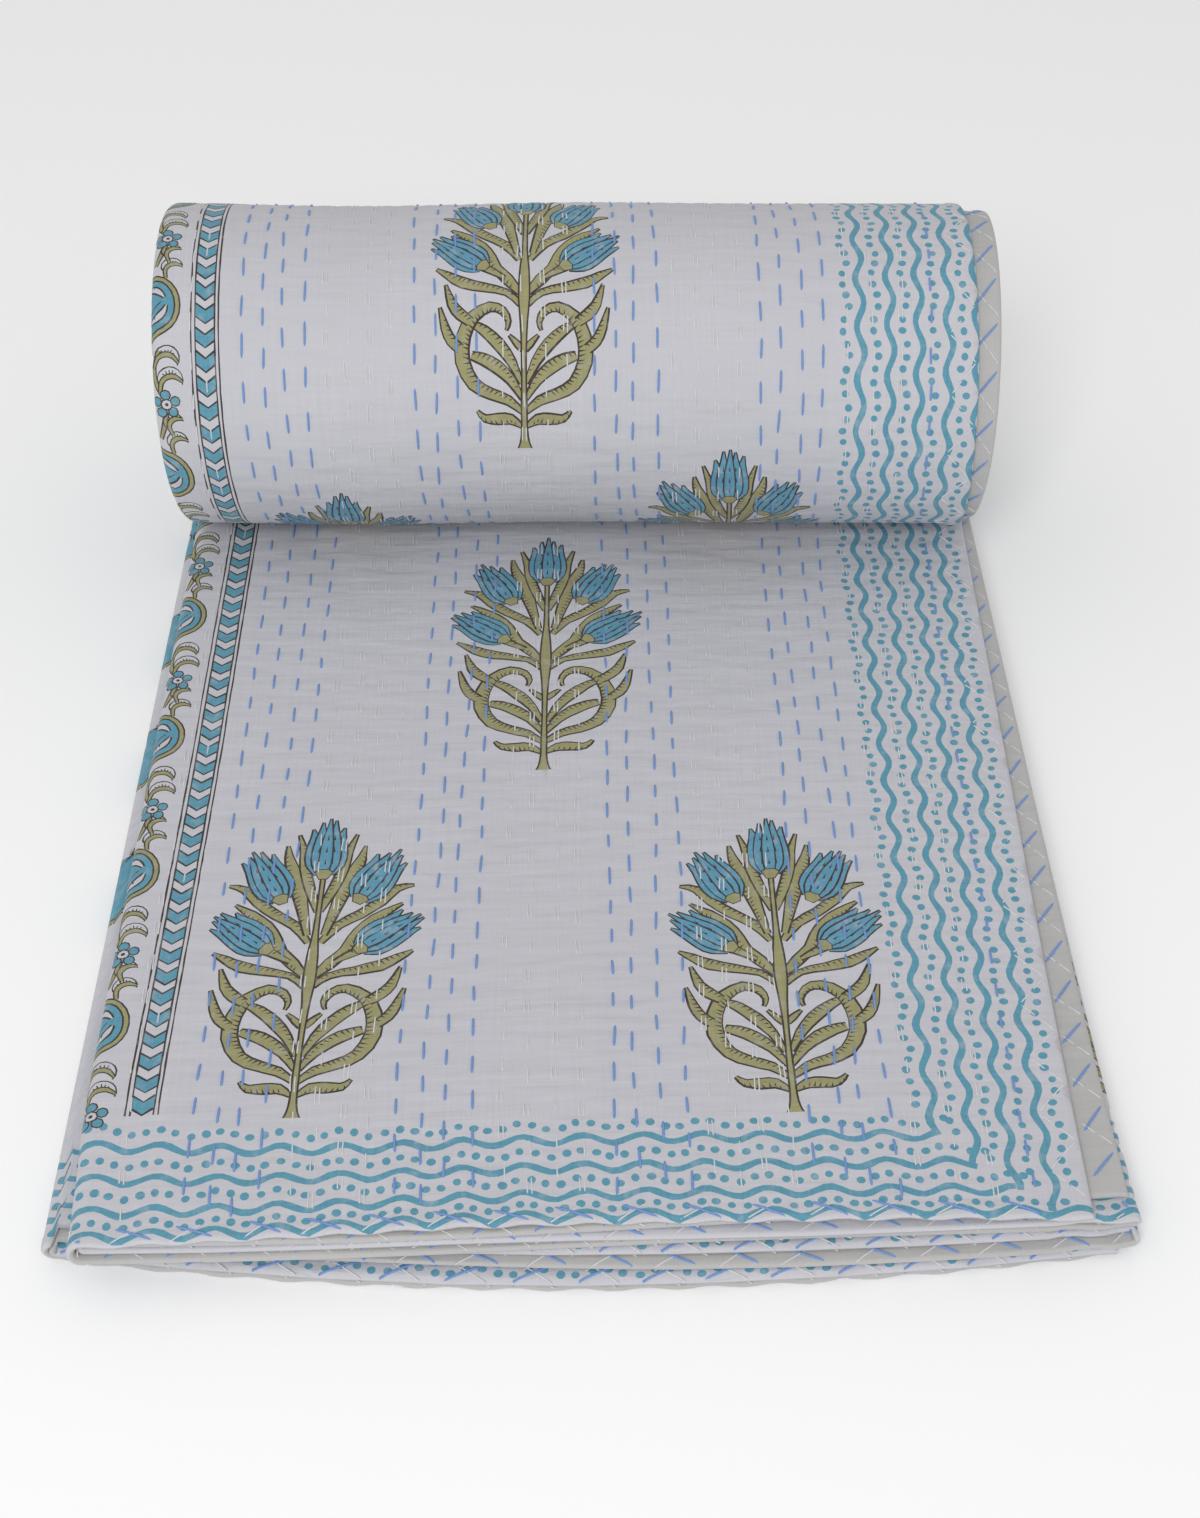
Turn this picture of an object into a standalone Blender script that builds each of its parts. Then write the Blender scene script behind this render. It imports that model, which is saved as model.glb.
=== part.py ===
"""A printed kantha quilt, folded to a strip of eight layers, with its far end rolled up.

Metres, +Z up. The near hems point to -Y and the roll lies at +Y. The long folds are at -X and the
side hems at +X. The origin is on the ground under the middle of the whole.

The quilt is folded in four across its width, into panels A, B, C and D from the top down. That strip
is doubled back under itself across its length, which makes eight layers, and the doubled end is
rolled up and over towards the near hems. The quilt is one closed body: its four panels are joined
by three long folds, and its upper and lower half by the nose in the heart of the roll.
"""
import math

import bmesh
import bpy
import numpy as np

MM = 0.001

# The cloth and the strip.
CLOTH_THICK = 2.2 * MM  # two cotton cloths and a thin filling, quilted flat
LAYER_PITCH = 3.1 * MM  # one layer of the stack and the air over it
FLAT_LENGTH = 438 * MM  # near hem to the ground line under the middle of the roll

# The roll, a spiral about one line. The radii are those of the middle of the stack of eight.
ROLL_RADIUS = 78.6 * MM  # where the strip leaves the ground
TURN_PITCH = 25.3 * MM  # what the radius loses in each turn
STATIONS_A_TURN = 16
ROLL_STATIONS = 34  # two turns and an eighth
FLAT_STATIONS = 4
NOSE_STATIONS = 5

# The section across the strip. Heights are counted in layer pitches from the middle of the stack.
PANEL_HEIGHT = {"A": 3.5, "B": 2.5, "C": 1.5, "D": 0.5}
PANEL_CELLS = 6
OUTER_FOLD_CELLS = 4
TIGHT_FOLD_CELLS = 3
MIDDLE_HEIGHT = PANEL_HEIGHT["A"] * LAYER_PITCH + CLOTH_THICK / 2

# The long folds: A turns into D round the fold of B and C at the left, and D into C at the right.
OUTER_FOLD_RADIUS = (PANEL_HEIGHT["A"] - PANEL_HEIGHT["D"]) / 2 * LAYER_PITCH
TIGHT_FOLD_RADIUS = (PANEL_HEIGHT["C"] - PANEL_HEIGHT["D"]) / 2 * LAYER_PITCH
LEFT_FOLD_HEIGHT = (PANEL_HEIGHT["A"] + PANEL_HEIGHT["D"]) / 2 * LAYER_PITCH
RIGHT_FOLD_HEIGHT = (PANEL_HEIGHT["C"] + PANEL_HEIGHT["D"]) / 2 * LAYER_PITCH

# Where the long edges run, in mm from the middle of the strip. "along" is the distance in mm from
# the near hem to the station, measured along the middle of the stack.
EDGE_COLUMNS = ("half", "along", "left_fold", "right_a", "right_b", "right_fold")
EDGES = (
    ("upper", 0, -184, 189, 204, 208),
    ("upper", 60, -188, 188, 201, 204),
    ("upper", 420, -186, 185, 190, 187),
    ("upper", 1129, -188, 182, 186, 184),
    ("lower", 815, -185, 180, 185, 183),
    ("lower", 764, -188, 178, 187, 186),
    ("lower", 618, -192, 177, 190, 188),
    ("lower", 438, -192, 180, 192, 191),
    ("lower", 0, -196, 195, 200, 208),
)

# How far each near hem stands towards the viewer, in mm, at its left end, middle and right end.
HEM_COLUMNS = ("half", "panel", "left", "middle", "right")
HEMS = (
    ("upper", "A", 10.5, 0, -2),
    ("upper", "B", 8, 1, -15),
    ("upper", "C", 8, 3, -6),
    ("upper", "D", 10.5, 3, -6),
    ("lower", "D", -9, 4, -7),
    ("lower", "C", -9, 5, -7),
    ("lower", "B", -9, 5, -11),
    ("lower", "A", -9, 4, -9),
)

# Soft unevenness: the cloth stands higher or lower by waves along X and Y, less near the ground.
WAVE_COLUMNS = ("axis", "height_mm", "length_mm", "phase")
WAVES = (
    ("x", 0.9, 310, 0.6),
    ("x", 0.5, 170, 2.1),
    ("y", 0.7, 260, 1.1),
)
SETTLED_HEIGHT = 25 * MM  # at this height half of the unevenness shows

CLOTH_COLOUR = (0.74, 0.73, 0.71, 1.0)
CLOTH_ROUGHNESS = 0.9
SHARP_EDGE = math.radians(50)


def named_lines(columns, table):
    """A table's lines as dictionaries keyed by its column names."""
    return [dict(zip(columns, line)) for line in table]


def roll_radius(turned):
    """Radius of the middle of the stack once the roll has turned through this angle."""
    return ROLL_RADIUS - TURN_PITCH * turned / math.tau


def roll_length(turned):
    """Length of strip that the spiral takes up to this angle."""
    return ROLL_RADIUS * turned - TURN_PITCH * turned**2 / (2 * math.tau)


NOSE_TURNED = math.tau * ROLL_STATIONS / STATIONS_A_TURN
HALF_LENGTH = FLAT_LENGTH + roll_length(NOSE_TURNED)


def half_rows():
    """Stations from the near hem to the nose, on the middle of the stack.

    "slack" is the share of a hem's own shift that still shows at the station.
    """
    rows = []
    for index in range(FLAT_STATIONS):
        share = index / FLAT_STATIONS
        along = share * FLAT_LENGTH
        rows.append({"y": along, "z": MIDDLE_HEIGHT, "turned": 0.0, "along": along, "slack": 1 - share})
    for index in range(ROLL_STATIONS + 1):
        turned = math.tau * index / STATIONS_A_TURN
        radius = roll_radius(turned)
        y = FLAT_LENGTH + radius * math.sin(turned)
        z = MIDDLE_HEIGHT + ROLL_RADIUS - radius * math.cos(turned)
        along = FLAT_LENGTH + roll_length(turned)
        rows.append({"y": y, "z": z, "turned": turned, "along": along, "slack": 0.0})
    return rows


def stacked(row, half, lean):
    """A station whose layers stack up at this lean from straight up, towards the near hems."""
    along = 2 * HALF_LENGTH - row["along"] if half == "lower" else row["along"]
    return {**row, "half": half, "along": along, "up_y": -math.sin(lean), "up_z": math.cos(lean)}


def cloth_rows():
    """All stations along the cloth: the upper half, round the nose, and back on the lower half."""
    stations = half_rows()
    upper = [stacked(row, "upper", row["turned"]) for row in stations]
    lower = [stacked(row, "lower", row["turned"] + math.pi) for row in reversed(stations)]
    swings = [math.pi * index / NOSE_STATIONS for index in range(1, NOSE_STATIONS)]
    nose = [stacked(stations[-1], "nose", NOSE_TURNED - swing) for swing in swings]
    return upper + nose + lower


def edges_at(row):
    """Where the long folds and side hems run at a station."""
    lines = named_lines(EDGE_COLUMNS, EDGES)
    places = [line["along"] * MM for line in lines]
    for index, line in enumerate(lines):
        if line["half"] == "lower":
            places[index] = 2 * HALF_LENGTH - places[index]
    names = EDGE_COLUMNS[2:]
    return {name: np.interp(row["along"], places, [line[name] * MM for line in lines]) for name in names}


def hem_shift(row, panel, across):
    """How far a hem stands towards the viewer, across running from -1 at the left to 1 at the right."""
    if row["slack"] == 0:
        return 0.0
    hem = next(line for line in named_lines(HEM_COLUMNS, HEMS)
               if line["half"] == row["half"] and line["panel"] == panel)
    slope = (hem["right"] - hem["left"]) / 2
    bow = (hem["right"] + hem["left"]) / 2 - hem["middle"]
    return MM * row["slack"] * (hem["middle"] + slope * across + bow * across**2)


def panel_cut(row, panel, left, right, leftwards):
    """Points across one panel: place, height, the print side's direction and the hem's shift."""
    print_up = 1 if panel in "AC" else -1
    cut = []
    for index in range(PANEL_CELLS + 1):
        share = index / PANEL_CELLS
        across = 1 - 2 * share if leftwards else 2 * share - 1
        x = (left + right) / 2 + across * (right - left) / 2
        height = PANEL_HEIGHT[panel] * LAYER_PITCH
        cut.append((x, height, 0.0, print_up, hem_shift(row, panel, across)))
    return cut


def fold_cut(row, panel, centre_x, centre_height, radius, cells, side, start):
    """Points round a long fold, from its start side (1 above, -1 below), out on side -1 or 1."""
    cut = []
    shift = hem_shift(row, panel, side)
    print_out = -1 if panel == "B" else 1
    for index in range(1, cells):
        angle = math.pi * index / cells
        out = side * math.sin(angle)
        rise = start * math.cos(angle)
        cut.append((centre_x + radius * out, centre_height + radius * rise,
                    print_out * out, print_out * rise, shift))
    return cut


def section(row):
    """The back-and-forth cut across the strip: A leftwards, D rightwards, C leftwards, B rightwards."""
    edges = edges_at(row)
    left = edges["left_fold"] + OUTER_FOLD_RADIUS + CLOTH_THICK / 2
    right = edges["right_fold"] - TIGHT_FOLD_RADIUS - CLOTH_THICK / 2
    return (
        panel_cut(row, "A", left, edges["right_a"], True)
        + fold_cut(row, "A", left, LEFT_FOLD_HEIGHT, OUTER_FOLD_RADIUS, OUTER_FOLD_CELLS, -1, 1)
        + panel_cut(row, "D", left, right, False)
        + fold_cut(row, "C", right, RIGHT_FOLD_HEIGHT, TIGHT_FOLD_RADIUS, TIGHT_FOLD_CELLS, 1, -1)
        + panel_cut(row, "C", left, right, True)
        + fold_cut(row, "B", left, LEFT_FOLD_HEIGHT, TIGHT_FOLD_RADIUS, TIGHT_FOLD_CELLS, -1, -1)
        + panel_cut(row, "B", left, edges["right_b"], False)
    )


def unevenness(x, y):
    """Rise of the cloth at a place seen from above, before it fades towards the ground."""
    rise = 0.0
    for wave in named_lines(WAVE_COLUMNS, WAVES):
        place = x if wave["axis"] == "x" else y
        rise += wave["height_mm"] * MM * math.sin(math.tau * place / (wave["length_mm"] * MM) + wave["phase"])
    return rise


def cloth_point(row, cut_point, side):
    """One point of the cloth's face on the print side (1) or the backing side (-1)."""
    x, height, out_x, out_height, shift = cut_point
    x += side * out_x * CLOTH_THICK / 2
    height += side * out_height * CLOTH_THICK / 2
    y = row["y"] - shift + height * row["up_y"]
    z = row["z"] + height * row["up_z"]
    z += unevenness(x, y) * z / (z + SETTLED_HEIGHT)
    return x, y, z


def cloth_points():
    """Points of the print face, then of the backing face, each as stations by points across."""
    rows = cloth_rows()
    faces = [[[cloth_point(row, cut_point, side) for cut_point in section(row)] for row in rows]
             for side in (1, -1)]
    points = np.array(faces)
    low = points.reshape(-1, 3).min(axis=0)
    high = points.reshape(-1, 3).max(axis=0)
    middle = (low + high) / 2
    return points - (middle[0], middle[1], 0.0)


def build_quilt():
    """The quilt's closed shell: print face, backing face, two side hems and two near hems."""
    points = cloth_points()
    rows, across = points.shape[1:3]
    shell = bmesh.new()
    grids = [[[shell.verts.new(point) for point in line] for line in face] for face in points]
    print_face, backing_face = grids
    for i in range(rows - 1):
        for j in range(across - 1):
            a, b, c, d = (print_face[i][j], print_face[i + 1][j],
                          print_face[i + 1][j + 1], print_face[i][j + 1])
            shell.faces.new((a, b, c))
            shell.faces.new((a, c, d))
            a, b, c, d = (backing_face[i][j], backing_face[i + 1][j],
                          backing_face[i + 1][j + 1], backing_face[i][j + 1])
            shell.faces.new((c, b, a))
            shell.faces.new((d, c, a))
    for i in range(rows - 1):
        for j, turn in ((0, 1), (across - 1, -1)):
            rim = (print_face[i][j], backing_face[i][j], backing_face[i + 1][j], print_face[i + 1][j])
            shell.faces.new(rim[::turn])
    for j in range(across - 1):
        for i, turn in ((0, -1), (rows - 1, 1)):
            rim = (print_face[i][j], backing_face[i][j], backing_face[i][j + 1], print_face[i][j + 1])
            shell.faces.new(rim[::turn])
    if shell.calc_volume(signed=True) < 0:
        bmesh.ops.reverse_faces(shell, faces=shell.faces)
    mesh = bpy.data.meshes.new("quilt")
    shell.to_mesh(mesh)
    shell.free()
    mesh.shade_smooth()
    mesh.set_sharp_from_angle(angle=SHARP_EDGE)
    return bpy.data.objects.new("quilt", mesh)


def quilted_cotton():
    """Matte off-white quilted cotton."""
    material = bpy.data.materials.new("quilted_cotton")
    material.use_nodes = True
    shader = material.node_tree.nodes["Principled BSDF"]
    shader.inputs["Base Color"].default_value = CLOTH_COLOUR
    shader.inputs["Roughness"].default_value = CLOTH_ROUGHNESS
    shader.inputs["Metallic"].default_value = 0.0
    return material


for old in list(bpy.data.objects):
    bpy.data.objects.remove(old, do_unlink=True)

quilt = build_quilt()
quilt.data.materials.append(quilted_cotton())
bpy.context.scene.collection.objects.link(quilt)
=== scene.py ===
"""A printed kantha quilt: folded to a strip of eight layers, with its far end rolled up on the strip."""
import math
import random

import bpy
import numpy as np
from mathutils.bvhtree import BVHTree
from mathutils.geometry import delaunay_2d_cdt
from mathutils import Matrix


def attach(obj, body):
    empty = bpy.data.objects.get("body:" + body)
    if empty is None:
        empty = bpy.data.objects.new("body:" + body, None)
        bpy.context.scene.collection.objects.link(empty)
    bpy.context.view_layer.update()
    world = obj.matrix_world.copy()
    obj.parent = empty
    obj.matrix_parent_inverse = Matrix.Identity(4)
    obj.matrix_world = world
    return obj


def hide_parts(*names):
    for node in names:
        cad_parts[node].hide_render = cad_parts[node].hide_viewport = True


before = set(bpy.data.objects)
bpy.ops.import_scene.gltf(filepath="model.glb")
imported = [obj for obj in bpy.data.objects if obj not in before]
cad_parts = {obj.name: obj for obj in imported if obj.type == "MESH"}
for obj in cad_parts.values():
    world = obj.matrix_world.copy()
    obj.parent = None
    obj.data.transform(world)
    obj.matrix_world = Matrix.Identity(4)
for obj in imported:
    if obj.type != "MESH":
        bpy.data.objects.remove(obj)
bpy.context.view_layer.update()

# ---------------------------------------------------------------------------------------------
# The camera stands in front of the near hems, three quarters of a metre over the floor, and looks
# down the quilt, straight along it. Its focal length was fitted in rows of the photograph.
MM = 0.001
FRAME_ROWS = 1518
FOCAL_ROWS = 2450
SENSOR_HEIGHT = 36.0
LOOKING_DOWN = math.radians(43.2)
CAMERA_PLACE = (0.004, -0.785, 0.7516)
CLIP_START = 0.05

camera_data = bpy.data.cameras.new("camera")
camera_data.sensor_fit = "VERTICAL"
camera_data.sensor_height = SENSOR_HEIGHT
camera_data.lens = SENSOR_HEIGHT * FOCAL_ROWS / FRAME_ROWS
camera_data.clip_start = CLIP_START
camera = bpy.data.objects.new("camera", camera_data)
camera.location = CAMERA_PLACE
camera.rotation_euler = (math.pi / 2 - LOOKING_DOWN, 0.0, 0.0)
bpy.context.scene.collection.objects.link(camera)
bpy.context.scene.camera = camera


# ---------------------------------------------------------------------------------------------
# A plain white sheet of paper board, larger than the view, is the floor. Soft light comes from
# all round, with a wide lamp behind the camera's left shoulder.
def linear(hex_colour):
    """The linear colour of an sRGB hex value."""
    parts = [int(hex_colour[i:i + 2], 16) / 255 for i in (1, 3, 5)]
    return [c / 12.92 if c <= 0.04045 else ((c + 0.055) / 1.055) ** 2.4 for c in parts] + [1.0]


FLOOR_HALF_WIDTH = 4.0
FLOOR_DROP = 0.3 * MM
FLOOR_CORNERS = ((-1, -1), (1, -1), (1, 1), (-1, 1))
SKY_STRENGTH = 0.65
LAMP_PLACE = np.array((-0.45, -2.05, 1.95))
LAMP_AIM = np.array((0.0, 0.05, 0.08))
LAMP_WIDTH = 1.0
LAMP_WATTS = 34

floor_mesh = bpy.data.meshes.new("paper_floor")
floor_mesh.from_pydata(
    [(x * FLOOR_HALF_WIDTH, y * FLOOR_HALF_WIDTH, -FLOOR_DROP) for x, y in FLOOR_CORNERS], [], [(0, 1, 2, 3)])
floor = bpy.data.objects.new("paper_floor", floor_mesh)
bpy.context.scene.collection.objects.link(floor)
# White paper, uncoated: matte and even.
matte_paper = bpy.data.materials.new("matte_paper")
matte_paper.use_nodes = True
paper_shader = matte_paper.node_tree.nodes["Principled BSDF"]
paper_shader.inputs["Base Color"].default_value = linear("#FBFBFB")
paper_shader.inputs["Roughness"].default_value = 0.9
floor_mesh.materials.append(matte_paper)

studio = bpy.data.worlds.new("studio")
studio.use_nodes = True
sky = studio.node_tree.nodes["Background"]
sky.inputs["Color"].default_value = (1.0, 1.0, 1.0, 1.0)
sky.inputs["Strength"].default_value = SKY_STRENGTH
bpy.context.scene.world = studio
bpy.context.scene.view_settings.view_transform = "Standard"

lamp_data = bpy.data.lights.new("key_lamp", "AREA")
lamp_data.size = LAMP_WIDTH
lamp_data.energy = LAMP_WATTS
lamp = bpy.data.objects.new("key_lamp", lamp_data)
lamp.location = LAMP_PLACE
beam_x, beam_y, beam_z = LAMP_AIM - LAMP_PLACE
lamp.rotation_euler = (math.atan2(math.hypot(beam_x, beam_y), -beam_z), 0.0, math.atan2(-beam_x, beam_y))
bpy.context.scene.collection.objects.link(lamp)

# ---------------------------------------------------------------------------------------------
# How the quilt lies. It is folded in four across its width, into panels A, B, C and D from the top
# down, doubled under itself across its length, and rolled up from the doubled end. A place on the
# cloth is u, from A's side hem across the panels, and v, from A's near hem along the cloth.
CLOTH_THICK = 2.2 * MM
LAYER_PITCH = 3.1 * MM
FLAT_LENGTH = 438 * MM
ROLL_RADIUS = 78.6 * MM
TURN_PITCH = 25.3 * MM
NOSE_TURNED = math.tau * 34 / 16
STRIP_MIDDLE = (5.82 * MM, 255.86 * MM)

# How high each panel lies over the middle of the strip, in layers, and the folds that join them.
PANEL_HEIGHT = {"A": 3.5, "B": 2.5, "C": 1.5, "D": 0.5}
OUTER_FOLD_RADIUS = 1.5 * LAYER_PITCH
TIGHT_FOLD_RADIUS = 0.5 * LAYER_PITCH
LEFT_FOLD_HEIGHT = 2 * LAYER_PITCH
RIGHT_FOLD_HEIGHT = 1 * LAYER_PITCH

# Path lengths along the top panel, and widths of the panels and folds across the cloth.
TOP_HEIGHT = PANEL_HEIGHT["A"] * LAYER_PITCH
MIDDLE_HEIGHT = TOP_HEIGHT + CLOTH_THICK / 2
TIGHTENING = TURN_PITCH / (2 * math.tau)
HALF_LENGTH = FLAT_LENGTH + ROLL_RADIUS * NOSE_TURNED - TIGHTENING * NOSE_TURNED**2
NOSE_STARTS = HALF_LENGTH - TOP_HEIGHT * NOSE_TURNED
NOSE_ENDS = NOSE_STARTS + math.pi * TOP_HEIGHT
CLOTH_LENGTH = NOSE_ENDS + HALF_LENGTH + TOP_HEIGHT * NOSE_TURNED
OUTER_ARC = math.pi * OUTER_FOLD_RADIUS
TIGHT_ARC = math.pi * TIGHT_FOLD_RADIUS
WIDTHS = {"A": 368 * MM, "AD": OUTER_ARC, "D": 377 * MM, "DC": TIGHT_ARC,
          "C": 377 * MM, "CB": TIGHT_ARC, "B": 378 * MM}
FOLDS = ("AD", "DC", "CB")
STARTS = {}
CLOTH_WIDTH = 0.0
for stretch_name, stretch_width in WIDTHS.items():
    STARTS[stretch_name] = CLOTH_WIDTH
    CLOTH_WIDTH += stretch_width

# Where the long edges run, in mm from the middle of the strip, at distances in mm along each half.
EDGE_COLUMNS = ("half", "along", "left_fold", "right_a", "right_b", "right_fold")
EDGES = (
    ("upper", 0, -181.5, 189, 204, 208),
    ("upper", 60, -185.5, 188, 201, 204),
    ("upper", 420, -186, 185, 190, 187),
    ("upper", 1129, -188, 182, 186, 184),
    ("lower", 815, -185, 180, 185, 183),
    ("lower", 764, -188, 178, 187, 186),
    ("lower", 618, -192, 177, 190, 188),
    ("lower", 438, -192, 180, 192, 191),
    ("lower", 0, -195, 195, 200, 208),
)
EDGE_EASE = 24 * MM
HAIR = 1e-9

# How far each near hem stands towards the viewer, in mm, at its left end, middle and right end.
HEMS = {
    "upper": {"A": (10.5, 0, -2), "B": (8, 1, -15), "C": (8, 3, -6), "D": (10.5, 3, -6)},
    "lower": {"D": (-9, 4, -7), "C": (-5, 8, -3), "B": (0, 13, -2), "A": (-1, 12, -3)},
}

# Every hem is drawn in at its slanting stitches, and its layers lie a little uneven.
NEAR_SLANT_GAP = 23 * MM
HEM_DRAWN_IN = 1.3 * MM
HEM_DRAWN_DEEP = 5 * MM
HEM_RISE = 0.9 * MM
HEM_RISE_LONG = 190 * MM
HEM_RISE_DEEP = 22 * MM
LOWER_HEM_PHASE = 2.0

# Soft unevenness of the lying cloth: axis, height, length and phase of each wave.
WAVES = ((0, 0.9 * MM, 310 * MM, 0.6), (0, 0.5 * MM, 170 * MM, 2.1), (1, 0.7 * MM, 260 * MM, 1.1))
SETTLED_HEIGHT = 25 * MM
GROUND_CLEARANCE = 0.05 * MM

# The main creases: place on the cloth, direction in degrees, half length, half width
# and depth, in mm. A crease lies along u at 0 degrees.
CREASE_COLUMNS = ("u", "v", "direction", "half_length", "half_width", "depth")
CREASES = (
    (96, 322, 70, 20, 14, 0.8),
    (300, 36, 0, 70, 8, 0.6),
    (15, 55, 84, 45, 6, 0.8),
    (315, 398, 60, 34, 7, 0.7),
    (140, 400, 12, 48, 7, 0.7),
    (238, 120, 8, 60, 9, 0.6),
    (67, 1545, 90, 55, 5, 0.7),
    (250, 1590, 15, 50, 9, 0.6),
    (330, 1450, 40, 30, 7, 0.7),
)


def creased(u, v):
    """How deep the cloth is drawn in by its creases."""
    depth = np.zeros_like(u)
    for row in CREASES:
        crease = dict(zip(CREASE_COLUMNS, row))
        turn = math.radians(crease["direction"])
        off_u, off_v = u - crease["u"] * MM, v - crease["v"] * MM
        along = (off_u * math.cos(turn) + off_v * math.sin(turn)) / (crease["half_length"] * MM)
        across = (off_v * math.cos(turn) - off_u * math.sin(turn)) / (crease["half_width"] * MM)
        depth = depth + crease["depth"] * MM * np.exp(-along**2 - across**2)
    return depth


def edge_places(along):
    """Where the long folds and side hems run, at distances along the middle of the stack."""
    lines = [dict(zip(EDGE_COLUMNS, line)) for line in EDGES]
    places = [line["along"] * MM if line["half"] == "upper" else 2 * HALF_LENGTH - line["along"] * MM
              for line in lines]
    eased = {}
    for name in EDGE_COLUMNS[2:]:
        values = [line[name] * MM for line in lines]
        shifted = [np.interp(along + ease * EDGE_EASE, places, values) for ease in (-1, -0.5, 0, 0.5, 1)]
        eased[name] = sum(shifted) / len(shifted)
    return eased


def station(v):
    """The stack's middle at v: its place, the way up through the layers, and what its row needs."""
    lower = v > (NOSE_STARTS + NOSE_ENDS) / 2
    walked = np.where(lower, CLOTH_LENGTH - v, v)
    rise = np.where(lower, ROLL_RADIUS + TOP_HEIGHT, ROLL_RADIUS - TOP_HEIGHT)
    rolled = np.maximum(walked - FLAT_LENGTH, 0.0)
    root = np.sqrt(np.maximum(rise**2 - 4 * TIGHTENING * rolled, 0.0))
    turned = (rise - root) / (2 * TIGHTENING)
    nose = (v > NOSE_STARTS) & (v < NOSE_ENDS)
    turned = np.where(nose, NOSE_TURNED, turned)
    swing = np.where(nose, (v - NOSE_STARTS) / TOP_HEIGHT, 0.0)
    lean = np.where(lower & ~nose, turned + math.pi, turned) - swing
    radius = ROLL_RADIUS - TURN_PITCH * turned / math.tau
    on_roll = walked > FLAT_LENGTH
    y = np.where(on_roll, FLAT_LENGTH + radius * np.sin(turned), walked)
    z = np.where(on_roll, MIDDLE_HEIGHT + ROLL_RADIUS - radius * np.cos(turned), MIDDLE_HEIGHT)
    along = np.where(on_roll, FLAT_LENGTH + ROLL_RADIUS * turned - TIGHTENING * turned**2, walked)
    along = np.where(nose, HALF_LENGTH, along)
    return {"y": y, "z": z, "up_y": -np.sin(lean), "up_z": np.cos(lean), "lower": lower,
            "along": np.where(lower, 2 * HALF_LENGTH - along, along),
            "slack": np.where(nose, 0.0, np.maximum(1 - walked / FLAT_LENGTH, 0.0))}


def hem_shift(row, panel, across):
    """How far the cloth of a panel stands towards the viewer, across from -1 at the left to 1."""
    shifts = {}
    for half, hems in HEMS.items():
        left, middle, right = hems[panel]
        shifts[half] = middle + (right - left) / 2 * across + ((right + left) / 2 - middle) * across**2
    return MM * row["slack"] * np.where(row["lower"], shifts["lower"], shifts["upper"])


def cut_across(u, row):
    """The cut across the strip at u: place, height over the stack's middle, print side and shift."""
    edges = edge_places(row["along"])
    left = edges["left_fold"] + OUTER_FOLD_RADIUS + CLOTH_THICK / 2
    right = edges["right_fold"] - TIGHT_FOLD_RADIUS - CLOTH_THICK / 2
    x, height, out_x, out_up, shift = (np.zeros_like(u) for _ in range(5))
    panels = (("A", edges["right_a"], left, 1), ("D", left, right, -1),
              ("C", right, left, 1), ("B", left, edges["right_b"], -1))
    for panel, start, end, print_up in panels:
        here = (u >= STARTS[panel] - HAIR) & (u <= STARTS[panel] + WIDTHS[panel] + HAIR)
        share = (u - STARTS[panel]) / WIDTHS[panel]
        across = 1 - 2 * share if start is not left else 2 * share - 1
        x = np.where(here, start + share * (end - start), x)
        height = np.where(here, PANEL_HEIGHT[panel] * LAYER_PITCH, height)
        out_up = np.where(here, print_up, out_up)
        shift = np.where(here, hem_shift(row, panel, across), shift)
    folds = (("AD", "A", left, LEFT_FOLD_HEIGHT, OUTER_FOLD_RADIUS, -1, 1, 1),
             ("DC", "C", right, RIGHT_FOLD_HEIGHT, TIGHT_FOLD_RADIUS, 1, -1, 1),
             ("CB", "B", left, LEFT_FOLD_HEIGHT, TIGHT_FOLD_RADIUS, -1, -1, -1))
    for fold, panel, centre, middle, radius, side, first, print_out in folds:
        here = (u > STARTS[fold] + HAIR) & (u < STARTS[fold] + WIDTHS[fold] - HAIR)
        angle = math.pi * (u - STARTS[fold]) / WIDTHS[fold]
        out = side * np.sin(angle)
        rise = first * np.cos(angle)
        x = np.where(here, centre + radius * out, x)
        height = np.where(here, middle + radius * rise, height)
        out_x = np.where(here, print_out * out, out_x)
        out_up = np.where(here, print_out * rise, out_up)
        shift = np.where(here, hem_shift(row, panel, side), shift)
    return x, height, out_x, out_up, shift


def unevenness(x, y):
    """Rise of the cloth at a place seen from above, before it fades towards the ground."""
    return sum(high * np.sin(math.tau * (x, y)[axis] / long + phase) for axis, high, long, phase in WAVES)


def surface(u, v, lift):
    """Places in the world on the cloth, lifted this far from its middle towards the print side."""
    row = station(v)
    x, height, out_x, out_up, shift = cut_across(u, row)
    to_hem = np.minimum(v, CLOTH_LENGTH - v)
    gathers = 0.5 + 0.5 * np.cos(math.tau * u / NEAR_SLANT_GAP)
    drawn = HEM_DRAWN_IN * np.exp(-to_hem / HEM_DRAWN_DEEP) * gathers
    swell = 0.5 + 0.5 * np.sin(math.tau * u / HEM_RISE_LONG + LOWER_HEM_PHASE * row["lower"])
    risen = HEM_RISE * np.exp(-to_hem / HEM_RISE_DEEP) * swell
    lift = lift - creased(u, v)
    x = x + lift * out_x
    height = height + risen + lift * out_up
    y = row["y"] - shift + drawn + height * row["up_y"]
    z = row["z"] + height * row["up_z"]
    z = z + unevenness(x, y) * z / (z + SETTLED_HEIGHT)
    z = np.maximum(z, GROUND_CLEARANCE)
    return np.stack([x - STRIP_MIDDLE[0], y - STRIP_MIDDLE[1], z], axis=-1)


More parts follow.
